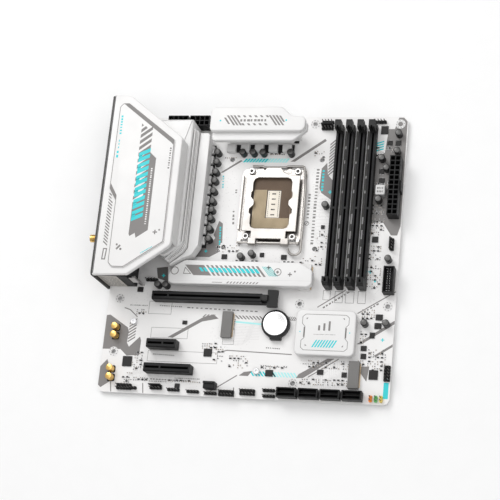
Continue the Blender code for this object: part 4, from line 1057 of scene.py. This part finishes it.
for n in range(1, 5):
    a, b = edges(f"sata_port_{n}")
    runs = np.arange(a[0] + 4.0, b[0] - 3.6, 1.27)
    tails.append(copies(tail_shape, np.stack([runs, np.full(len(runs), 7.6), 0 * runs], 1)))
print("power sockets done")

# %% [markdown]
# A pin header is a row of square pins through a low moulded block, notched between its cells. The
# whole pin is one piece, from its chamfered tip to the end of its solder tail, and one function
# makes a header of any number of columns and rows, so that all headers share the same pitch.

# %% Pin headers
PITCH = 2.54
pin = box(-0.32, -0.32, 0.32, 0.32, -2.9, 8.5, 0.16)
pins = []


def header(cx, cy, columns, rows, missing=(), tall=2.6):
    """A moulded block with its pins on a 2.54 mm pitch: gives the block's shape, and keeps the pins."""
    places = grid(cx - PITCH * (columns - 1) / 2, cy - PITCH * (rows - 1) / 2, PITCH, PITCH, columns,
                  rows)
    pins.append(copies(pin, np.delete(places, list(missing), 0)))
    w, d = PITCH * columns / 2, PITCH * rows / 2
    notch = 0.45
    half = 1.26
    square = rounded([(-half, -half), (half, -half), (half, half), (-half, half)], notch, 1)
    cells = [slab(square + place[:2], 0.0, tall, 0.2, 1) for place in places]
    return [box(cx - w + 0.15, cy - d + 0.15, cx + w - 0.15, cy + d - 0.15, 0.0, tall - 0.25, 0.1),
            *cells]


def node_header(name, columns, rows, missing=()):
    """A header in the middle of a CAD node's box, which it stands for."""
    a, b = edges(name)
    x, y = (a[:2] + b[:2]) / 2
    add(name + "_block", header(x, y, columns, rows, missing), moulded_black_and_shade, stands_for=[name])


node_header("front_panel_header", 2, 5, (0,))
node_header("audio_header", 5, 2, (3,))
node_header("usb2_header", 5, 2, (0,))
node_header("cpu_fan_header", 4, 1)
loose = header(111.2, 3.2, 5, 2, (0,))
loose += header(176.2, 233.0, 4, 1)
loose += header(51.2, 4.8, 4, 1)
loose += header(83.0, 3.2, 4, 1)
loose += header(98.2, 2.4, 4, 1)
loose += header(146.5, 7.0, 4, 1)
loose += header(146.8, 2.4, 4, 1)
loose += header(37.0, 96.6, 4, 1)
loose += header(238.0, 131.8, 1, 4)
loose += header(30.6, 4.0, 3, 1)
loose += header(66.4, 4.0, 4, 1)
loose += header(220.8, 238.7, 4, 1)
loose += [box(93.0, 5.4, 102.6, 11.0, 0, 8.2, 0.3), box(93.0, 9.2, 102.6, 11.0, 8.0, 9.4, 0.2)]
loose += [box(171.2, 234.9, 181.2, 235.9, 0, 8.0, 0.2), box(46.2, 6.4, 56.2, 7.3, 0, 8.0, 0.2),
          box(236.0, 126.8, 236.9, 136.8, 0, 8.0, 0.2)]
add("small_headers", loose, moulded_black_and_shade)
add("header_pins", pins, pin_dark_and_shade)
coloured = {"orange": (227.2, orange), "green": (231.4, green), "yellow": (235.6, yellow)}
pins_start = len(pins)
for name, (x, look) in coloured.items():
    add("front_block_" + name, header(x + 1.9, 4.2, 1, 2, (), 2.8), look)
add("front_pins", pins[pins_start:], pin_dark_and_shade)
print(len(pins), "rows of pins")

# %% [markdown]
# Capacitors are turned cans with a crimp above the foot and a flat metal lid. One profile of radius
# and height, turned once, is copied to every place: a column beside the rear heatsink, where the
# power stages are, and single ones round the board. Four gold cans belong to the sound circuit.

# %% Capacitors
CAN = [(2.5, 0.0), (2.85, 0.15), (2.85, 1.3), (2.6, 1.55), (2.6, 1.75), (2.85, 2.0), (2.85, 7.2),
       (2.7, 7.6), (2.35, 7.75)]
can = lathe(0, 0, CAN, 20)
lid = lathe(0, 0, [(2.32, 7.6), (2.32, 7.8), (2.1, 7.9)], 20)
foot_plate = slab(rounded([(-3.1, -3.1), (3.1, -3.1), (3.1, 3.1), (-3.1, 3.1)], [0.3, 1.2, 1.2, 0.3],
                          2), 0.0, 0.7, 0.1, 1)
blue_mark = [film([(-2.2, -0.6), (-0.7, -2.1), (-0.2, -2.2), (-2.25, 0.0)], 7.9)]
LEFT_CANS = [(83.5, y) for y in (209.7, 200.9, 192.1, 184.1, 174.8, 165.7, 158.0, 150.4, 141.3, 132.3)]
OTHER_CANS = [(105.6, 209.7), (114.7, 209.7), (123.3, 209.7), (147.1, 209.7), (237.4, 227.3),
              (237.1, 211.7),
              (224.7, 205.4), (229.3, 196.6), (224.3, 169.2), (235.8, 118.6), (220.4, 64.6),
              (237.8, 64.8),
              (180.4, 163.8), (112.7, 117.8), (121.8, 120.3), (43.8, 91.8), (50.8, 91.6)]
can_places = [(x, y, 0.0) for x, y in LEFT_CANS + OTHER_CANS]
add("capacitor_cans", [copies(can, can_places)], can_sleeve)
add("capacitor_lids", [copies(lid, can_places)], can_top)
add("capacitor_marks", [copies(merged(blue_mark), can_places)], ink_fine_and_shade)
gold_places = [(10.6, 54.8, 0.0), (10.6, 47.6, 0.0), (10.7, 19.3, 0.0), (11.0, 12.1, 0.0)]
add("audio_cans", [copies(can, gold_places)], gold)
add("audio_can_feet", [copies(foot_plate, gold_places)], moulded_black_and_shade)
tails.append(copies(tail_shape, [(x + s, y, 0.0) for x, y, _ in can_places for s in (-1.2, 1.2)]))
print(len(can_places), "capacitors")

# %% [markdown]
# Chokes are moulded blocks in rows, one for each power stage, and they stand in a gap under the
# heatsinks, where black beds between them paint the gap's shade. A rounded square lifted with a soft
# rim is enough, because only their tops show.

# %% Chokes
choke = slab(rounded([(-3.9, -3.5), (3.9, -3.5), (3.9, 3.5), (-3.9, 3.5)], 0.9, 3), 0.2, 5.4, 0.7, 3)
choke_places = np.concatenate([grid(76.3, 131.2, 0, 9.0, 1, 10), grid(95.0, 214.2, 12.1, 0, 5, 1)])
add("chokes", [copies(choke, choke_places)], choke_grey_and_shade)
# black beds round the chokes: painted shade in the gap under the heatsinks
choke_gap_painted_shade = [box(72.4, 126.0, 80.5, 217.0, 0.05, 2.4, 0.2),
              box(90.6, 211.5, 149.0, 218.0, 0.05, 2.2, 0.2)]
add("choke_gap_painted_shade", choke_gap_painted_shade, moulded_black_and_shade)
power_choke = slab(rounded([(221.5, 172.7), (229.6, 172.7), (229.6, 181.5), (221.5, 181.5)], 1.2, 3),
                   0.2, 7.0, 0.9, 3)
add("front_choke", [power_choke], choke_grey_and_shade)
choke_marks = ticks((223.0, 178.4), (228.6, 178.4), 4, 1.6, 7.0, 51)
choke_marks += ticks((223.0, 175.4), (228.6, 175.4), 4, 1.6, 7.0, 52)
add("front_choke_mark", choke_marks, ink_fine_and_shade)
print(len(choke_places), "chokes")

# %% [markdown]
# Chips are epoxy blocks with a dot in one corner and a row of leads along two sides. A lead is one
# short foot of two rings, copied along each side at an even pitch.

# %% Chips
lead = skin([at_height([(-0.12, 0.0), (0.12, 0.0), (0.12, 0.5), (-0.12, 0.5)], 0.02),
             at_height([(-0.12, 0.1), (0.12, 0.1), (0.12, 0.42), (-0.12, 0.42)], 0.45)])
CHIPS = [(224.7, 231.8, 6.0, 7.0), (229.8, 220.3, 4.2, 4.2), (236.9, 220.3, 4.6, 4.6),
         (224.6, 195.3, 4.0, 4.4),
         (225.2, 187.3, 4.6, 4.0), (223.4, 136.0, 5.0, 5.0), (231.3, 70.7, 5.6, 4.8),
         (230.8, 63.6, 5.6, 4.8),
         (226.7, 55.7, 4.0, 4.6), (220.6, 44.8, 4.6, 4.2), (220.8, 38.3, 4.4, 4.4),
         (229.9, 23.6, 7.2, 7.6),
         (92.0, 36.3, 6.8, 6.4), (145.1, 21.4, 6.2, 5.2), (23.4, 26.3, 8.0, 8.4), (69.0, 7.6, 4.2, 3.6),
         (150.4, 221.6, 4.0, 3.0), (179.0, 146.0, 3.0, 3.0), (27.4, 88.2, 5.0, 4.0),
         (187.0, 24.0, 5.0, 4.0), (206.5, 22.6, 4.0, 4.0), (69.5, 61.0, 4.0, 3.0),
         (97.4, 118.6, 4.6, 4.0),
         (129.6, 120.8, 3.6, 3.6), (148.4, 119.2, 4.6, 4.0)]
blocks, leads, dots = [], [], []
for x, y, wide, tall in CHIPS:
    w, t = wide / 2, tall / 2
    blocks.append(box(x - w, y - t, x + w, y + t, 0.08, 1.15, 0.14))
    dots.append(spot(x - w + 0.8, y + t - 0.8, 0.32, 1.15, 8))
    along = np.arange(x - w + 0.5, x + w - 0.3, 0.62)
    up, down = (lead[0] + [0, t - 0.02, 0], lead[1]), (lead[0] * [-1, -1, 1] - [0, t - 0.02, 0],
                                                       lead[1])
    spots = np.stack([along, np.full(len(along), y), 0 * along], 1)
    leads += [copies(up, spots), copies(down, spots)]
add("chip_blocks", blocks, chip_epoxy)
add("chip_dots", dots, ink_fine_and_shade)
add("chip_leads", leads, tin)
print(len(blocks), "chips")

# %% [markdown]
# The smallest parts are resistors and ceramic capacitors, a body between two tinned ends. A fixed
# seed scatters them on a grid inside each free area, so every run is the same.

# %% Resistors and ceramic capacitors
draw = np.random.default_rng(7)


def scatter(x0, y0, x1, y1, count, pitch=1.9):
    """Distinct cells of a grid over the area, drawn without repeats, each moved by a little."""
    columns, rows = int((x1 - x0) / pitch), int((y1 - y0) / pitch)
    chosen = draw.choice(columns * rows, min(count, columns * rows), replace=False)
    places = np.stack([x0 + (chosen % columns + 0.5) * pitch, y0 + (chosen // columns + 0.5) * pitch,
                       0.0 * chosen], 1)
    return places + np.column_stack([draw.uniform(-0.15, 0.15, (len(chosen), 2)),
                                     np.zeros(len(chosen))])


AREAS = [(218.0, 207.6, 235.0, 218.0, 16), (218.0, 157.0, 231.0, 168.0, 22),
         (219.0, 139.5, 231.0, 156.0, 30),
         (218.0, 118.0, 231.0, 132.0, 26), (217.0, 93.5, 231.0, 116.0, 34),
         (216.5, 68.0, 228.0, 79.0, 22),
         (216.5, 48.0, 224.0, 61.0, 14), (224.0, 26.0, 240.0, 46.0, 40), (216.0, 30.0, 223.0, 36.0, 8),
         (170.0, 13.0, 215.0, 20.5, 40), (176.0, 26.5, 212.0, 34.5, 34), (96.0, 29.0, 107.0, 44.0, 16),
         (86.0, 39.0, 100.0, 46.0, 14), (110.0, 24.0, 128.0, 36.0, 22), (137.0, 24.5, 160.0, 30.0, 14),
         (20.0, 8.0, 30.0, 18.0, 12), (30.0, 10.0, 44.0, 14.0, 12), (60.0, 10.4, 90.0, 14.0, 18),
         (27.0, 19.0, 38.0, 36.0, 22), (24.0, 66.0, 36.0, 72.0, 10), (38.0, 86.5, 60.0, 89.5, 10),
         (88.0, 205.8, 100.0, 209.0, 10), (89.0, 122.0, 110.0, 130.0, 16),
         (100.0, 113.6, 165.0, 117.0, 34),
         (128.0, 209.0, 143.0, 212.6, 12), (164.0, 112.0, 182.0, 122.0, 14),
         (174.0, 124.0, 184.0, 144.0, 16),
         (166.0, 206.0, 177.0, 214.0, 8), (218.0, 182.6, 232.0, 186.4, 10),
         (219.0, 236.0, 235.0, 237.4, 4)]
small_places = np.vstack([scatter(*area) for area in AREAS])
turned = draw.random(len(small_places)) < 0.5
pale = draw.random(len(small_places)) < 0.55
small_body = box(-0.32, -0.3, 0.32, 0.3, 0.05, 0.5, 0.06)
small_end = merged([box(s - 0.17, -0.31, s + 0.17, 0.31, 0.03, 0.52, 0.06) for s in (-0.47, 0.47)])


def swap(shape):
    """The shape turned by a quarter, so that its length runs along y."""
    return shape[0][:, [1, 0, 2]] * [-1, 1, 1], shape[1]


for name, chosen, look in (("ceramic_bodies", pale, ceramic_tan),
                           ("resistor_bodies", ~pale, chip_epoxy)):
    add(name, [copies(small_body, small_places[chosen & ~turned]),
               copies(swap(small_body), small_places[chosen & turned])], look)
add("small_ends", [copies(small_end, small_places[~turned]),
                   copies(swap(small_end), small_places[turned])], tin)
block_places = np.vstack([scatter(*area[:4], area[4] // 4, 3.4) for area in AREAS])
block_body = box(-1.0, -0.5, 1.0, 0.5, 0.05, 0.85, 0.08)
block_ends = [box(s - 0.16, -0.54, s + 0.16, 0.54, 0.03, 0.8, 0.04) for s in (-1.05, 1.05)]
add("resistor_arrays", [copies(block_body, block_places)], chip_epoxy)
add("array_ends", [copies(end, block_places) for end in block_ends], tin)
print(len(small_places) + len(block_places), "small parts")

# %% [markdown]
# The lithium cell is a turned can: a narrow lid, a seal and a rolled outer rim, all in one profile.
# It sits in a black holder and rides on its own body, because it lifts out. The drive sockets are
# narrow moulded blocks with gold contacts, and round posts take the drive screws.

# %% Cell, holder, drive sockets and posts
refine("battery_holder", moulded_black_and_shade, 0.25)
a, b = edges("coin_cell")
x, y = (a[:2] + b[:2]) / 2
r = (b[0] - a[0]) / 2
cell = [(r - 1.6, a[2]), (r - 1.0, a[2] + 0.3), (r - 0.9, a[2] + 0.8), (r - 0.5, a[2] + 0.95),
        (r - 0.1, a[2] + 1.1),
        (r, a[2] + 1.4), (r, b[2] - 0.35), (r - 0.12, b[2] - 0.1), (r - 0.4, b[2]), (r - 1.5, b[2]),
        (r - 1.6, b[2] - 0.04)]
add("lithium_cell", [lathe(x, y, cell, 64)], cell_steel, body="coin_cell", stands_for=["coin_cell"])
for name, look in (("m2_socket_top", shell_white), ("m2_socket_left", grey_plastic),
                   ("m2_socket_right", grey_plastic)):
    refine(name, look, 0.2)
wires = []
for name in ("m2_socket_top", "m2_socket_left", "m2_socket_right"):
    a, b = edges(name)
    runs = np.arange(a[1] + 1.6, b[1] - 1.5, 0.75)
    places = np.stack([np.full(len(runs), b[0] + 0.3), runs, 0 * runs], 1)
    wires.append(copies(box(-0.5, -0.13, 0.5, 0.13, 0.02, 0.4, 0), places))
add("drive_contacts", wires, gold)
a, b = edges("m2_post")
x, y = (a[:2] + b[:2]) / 2
r = (b[0] - a[0]) / 2
POST = [(r, a[2]), (r, a[2] + 0.6), (r - 0.5, a[2] + 0.8), (r - 0.5, b[2] - 0.8), (r, b[2] - 0.6),
        (r, b[2] - 0.2), (r - 0.2, b[2]),
        (1.0, b[2]), (0.9, b[2] - 0.7)]
add("drive_post", [lathe(x, y, POST, 32)], tin, stands_for=["m2_post"])
add("drive_post_left", [lathe(25.2, 60.3, POST, 32)], tin)
refine("chipset_package", chip_epoxy, 0.1)
add("solder_tails", tails + [copies(tail_shape, [(x, y, 0.0) for x, y in LEFT_CANS])], tin)
print("cell and posts done")

# %% [markdown]
# The rear ports are boxes of folded steel with a plastic tongue inside each opening. The audio
# block is black with a pale printed end plate. Each tongue and each contact row is placed from the
# box of its own CAD node, just inside the opening, so it shows through the shield.

# %% Rear ports and shield
refine("io_shield", shield_dark, 0.2)
for name in ("lan_usb_port", "usb_stack_middle", "usb_stack_high", "display_port_block",
             "usb_stack_top"):
    refine(name, port_steel, 0.25)
refine("audio_jack_block", moulded_black_and_shade, 0.3)


def along_x(y, z, profile, sides=20):
    """A profile of place and radius turned about a level axis: x, y + r cos t, z + r sin t."""
    x, r = np.asarray(profile, float).T
    t = np.linspace(0, 2 * math.pi, sides, endpoint=False)
    place = np.broadcast_to(x[:, None], (len(x), sides))
    return skin(np.stack([place, y + r[:, None] * np.cos(t), z + r[:, None] * np.sin(t)], -1))


for name in ("antenna_socket_low", "antenna_socket_high"):
    refine(name, gold, 0.2)
    a, b = edges(name)
    y, z = (a[1:] + b[1:]) / 2
    add(name + "_core", [along_x(y, z, [(a[0] + 0.9, 0.5), (a[0] + 0.9, 1.4), (a[0] + 5.9, 1.4)])],
        ink_white_and_light)
    thread = [(a[0] + 1.6 + 0.35 * k, 3.3 if k % 2 else 3.1) for k in range(11)]
    add(name + "_thread", [along_x(y, z, thread)], gold)


def tongues(name, heights, look, deep=1.6):
    """Tongues inside one port block: thin plates a little behind its mouth, as wide as an opening."""
    a, b = edges(name)
    y = (a[1] + b[1]) / 2
    shapes = [box(a[0] + deep, y - 5.4, a[0] + 12.2, y + 5.4, z, z + 1.9, 0.1) for z in heights]
    pads = [copies(box(-0.9, -0.35, 0.9, 0.35, z + 1.9, z + 2.0, 0),
                   grid(a[0] + deep + 1.6, y - 3.6, 0, 2.4, 1, 4)) for z in heights]
    add(name + "_tongue", shapes, look)
    add(name + "_pads", pads, gold)


tongues("usb_stack_middle", (4.8, 12.2, 19.6, 27.0), port_blue)
tongues("usb_stack_high", (4.8, 12.2, 19.6, 27.0), port_red)
tongues("usb_stack_top", (4.7, 11.9), moulded_black_and_shade)
tongues("lan_usb_port", (5.4, 12.4), port_blue)
tongues("display_port_block", (5.4, 15.6), moulded_black_and_shade)
a, b = edges("lan_usb_port")
wires = grid(a[0] + 5.0, 136.3 - 3.6, 0, 1.03, 1, 8, 27.2)
add("network_contacts", [copies(box(-3.4, -0.2, 3.4, 0.2, -0.2, 0.2, 0), wires)], gold)
a, b = edges("audio_jack_block")
rings = [along_x(y, z, [(a[0] + 3.0, 1.7), (a[0] - 0.25, 1.7), (a[0] - 0.25, 3.0),
                        (a[0] + 0.4, 3.1)][::-1])
         for y in (96.6, 107.4) for z in (6.4, 15.6, 24.8)]
add("audio_jack_rings", rings, gold)
plate_face = a[1] - 0.02
plate = [box(a[0] + 2.2, plate_face - 0.16, a[0] + 18.6, plate_face + 0.1, a[2] + 0.2, b[2] - 0.2, 0)]
add("audio_end_plate", plate, jack_beige)
draw = np.random.default_rng(5)
lines = []
for z in np.arange(a[2] + 2.0, b[2] - 2.4, 2.1):
    edge_x = a[0] + 3.4
    while edge_x < a[0] + 16.2:
        wide = draw.uniform(1.0, 3.6)
        lines.append(box(edge_x, plate_face - 0.2, min(edge_x + wide, a[0] + 17.4), plate_face - 0.1, z,
                         z + 0.85, 0))
        edge_x += wide + 0.7
add("audio_end_lines", lines, ink_soft)
add("audio_clip", [box(27.4, 91.4, 30.4, 92.6, 0.0, 26.0, 0.3),
                   box(24.6, 90.8, 29.8, 91.4, 12.0, 25.0, 0.2)], port_steel)
rear_pins = [grid(a[0] + 16.0, a[1] + 3.0, 2.5, 3.4, 3, 6)]
for name in ("lan_usb_port", "usb_stack_middle", "usb_stack_high", "display_port_block",
             "usb_stack_top"):
    a, b = edges(name)
    rear_pins.append(grid(a[0] + 12.0, a[1] + 2.4, 2.2, 2.6, 3, 5))
add("port_tails", [copies(tail_shape, np.vstack(rear_pins))], tin)
print("rear ports done")

# %% [markdown]
# Between the memory slots the board gets painted shade: dark strips, with pale marks of painted light
# where the lit board shows. Thin dark lines of painted shade mark the steps between the heatsink
# ridges.

# %% Between the slots and the ridges
# dark strips between the slots are painted shade; the pale marks on them are painted light where the
# lit board shows
painted_shade_strips, painted_light_marks = [], []
for n in (1, 2, 3):
    x = (edges(f"dimm_slot_{n}")[1][0] + edges(f"dimm_slot_{n + 1}")[0][0]) / 2
    painted_shade_strips.append(film([(x - 1.5, 96.0), (x + 1.5, 96.0), (x + 1.5, 231.0), (x - 1.5, 231.0)], 0.01))
    painted_light_marks += ticks((x, 98.0), (x, 162.0), 5, 1.5, 0.01 + INK, 60 + n, 0.8)
    painted_light_marks += ticks((x, 176.0), (x, 228.0), 4, 1.1, 0.01 + INK, 70 + n, 0.25)
add("slot_gap_painted_shade", painted_shade_strips, ink_fine_and_shade)
add("slot_gap_painted_light", painted_light_marks, ink_white_and_light)
inner_edge = np.array([(66.5, 222.4), (66.5, 124.4), (64.5, 119.0), (54.4, 109.4)])
outer_edge = np.array([(69.6, 222.4), (69.6, 121.0), (66.8, 116.2), (56.4, 107.9)])
top, low_top = edges("vrm_heatsink_rear_ridges")[1][2], edges("vrm_heatsink_rear_low")[1][2]
# grey lines along the steps between the ridges: painted shade where each step's face is
step_shade_lines = [stroke(inner_edge * (1 - t) + outer_edge * t, 0.4, z) for t, z in
              ((0.03, top + 0.02), (0.44, top - 3.36), (0.78, top - 3.36), (1.12, low_top + 0.02))]
add("ridge_step_painted_shade", step_shade_lines, ink_grey_and_shade)
print("ridge tops at", round(top, 1), "and", round(low_top, 1), "mm")

# %% [markdown]
# The stage is a plain pale floor under the board's pins, with soft light: one large panel over the
# far left throws the short shadow towards the near right, a wide one above fills it, and a bright
# even sky keeps the shadows light.

# %% Floor, light and camera
floor_z = float(metres([0, 0, edges("socket_backplate")[0][2]])[2]) - 0.0005
reach = 1.6
data = bpy.data.meshes.new("floor")
data.from_pydata([(-reach, -reach, floor_z), (reach, -reach, floor_z), (reach, reach, floor_z),
                  (-reach, reach, floor_z)],
                 [], [(0, 1, 2, 3)])
floor_look = finish("floor_paper", (0.9, 0.9, 0.9), 0.75, (0.88, 0.88, 0.88), grain=900, bump=0.02)
data.materials.append(floor_look)
floor = bpy.data.objects.new("floor", data)
bpy.context.scene.collection.objects.link(floor)


def aim(made, at, roll=0.0):
    """Turn an object so that it looks at a point: its back axis is the line from the point to it, its
    right axis lies level before the roll, and its up axis completes the frame."""
    place = np.array(made.location)
    ahead = np.asarray(at, float) - place
    ahead /= np.linalg.norm(ahead)
    level = np.cross(ahead, [0.0, 1.0, 0.0])
    level /= np.linalg.norm(level)
    above = np.cross(level, ahead)
    c, s = math.cos(math.radians(roll)), math.sin(math.radians(roll))
    right, up = c * level + s * above, c * above - s * level
    turn = np.eye(4)
    turn[:3, 0], turn[:3, 1], turn[:3, 2], turn[:3, 3] = right, up, -ahead, place
    made.matrix_world = Matrix(turn.tolist())


def panel_light(name, place, size, power):
    """A round soft light that looks at the middle of the board."""
    lamp = bpy.data.lights.new(name, "AREA")
    lamp.shape, lamp.size, lamp.energy = "DISK", size, power
    made = bpy.data.objects.new(name, lamp)
    made.location = place
    bpy.context.scene.collection.objects.link(made)
    aim(made, (0, 0, 0))
    return made


panel_light("key_panel", (-0.55, 0.75, 1.15), 0.8, 8.5)
panel_light("top_panel", (0.25, 0.1, 1.6), 1.4, 5.5)
panel_light("near_panel", (0.7, -0.9, 0.9), 1.0, 2.2)
world = bpy.data.worlds.new("studio")
world.use_nodes = True
tree = world.node_tree
place, split, height = node(tree, "TexCoord"), node(tree, "SeparateXYZ"), node(tree, "MapRange")
for label, value in (("From Min", 0.0), ("From Max", 0.8), ("To Min", 0.12), ("To Max", 0.72)):
    height.inputs[label].default_value = value
link(tree, (place.outputs["Generated"], split.inputs[0]), (split.outputs[2], height.inputs["Value"]),
     (height.outputs[0], tree.nodes["Background"].inputs["Strength"]))
tree.nodes["Background"].inputs["Color"].default_value = (1.0, 1.0, 1.0, 1)
bpy.context.scene.world = world
bpy.context.scene.view_settings.view_transform = "Standard"

VIEW_FROM, VIEW_AT, ROLL = (0.3051, -0.3353, 1.0990), (0.0009, 0.0019, 0.0041), 5.73
lens = bpy.data.cameras.new("camera")
lens.lens, lens.sensor_width = 102.65, 36.0
camera = bpy.data.objects.new("camera", lens)
camera.location = VIEW_FROM
bpy.context.scene.collection.objects.link(camera)
aim(camera, VIEW_AT, ROLL)
bpy.context.scene.camera = camera
print("floor at", round(floor_z * 1000, 1), "mm")

# %% [markdown]
# At the end, the pieces and faces made above are counted. The visual model has to stay inside
# the CAD model's box, apart from a small allowance.

# %% Piece and face counts
print(COUNT["pieces"], "pieces,", COUNT["faces"], "faces")
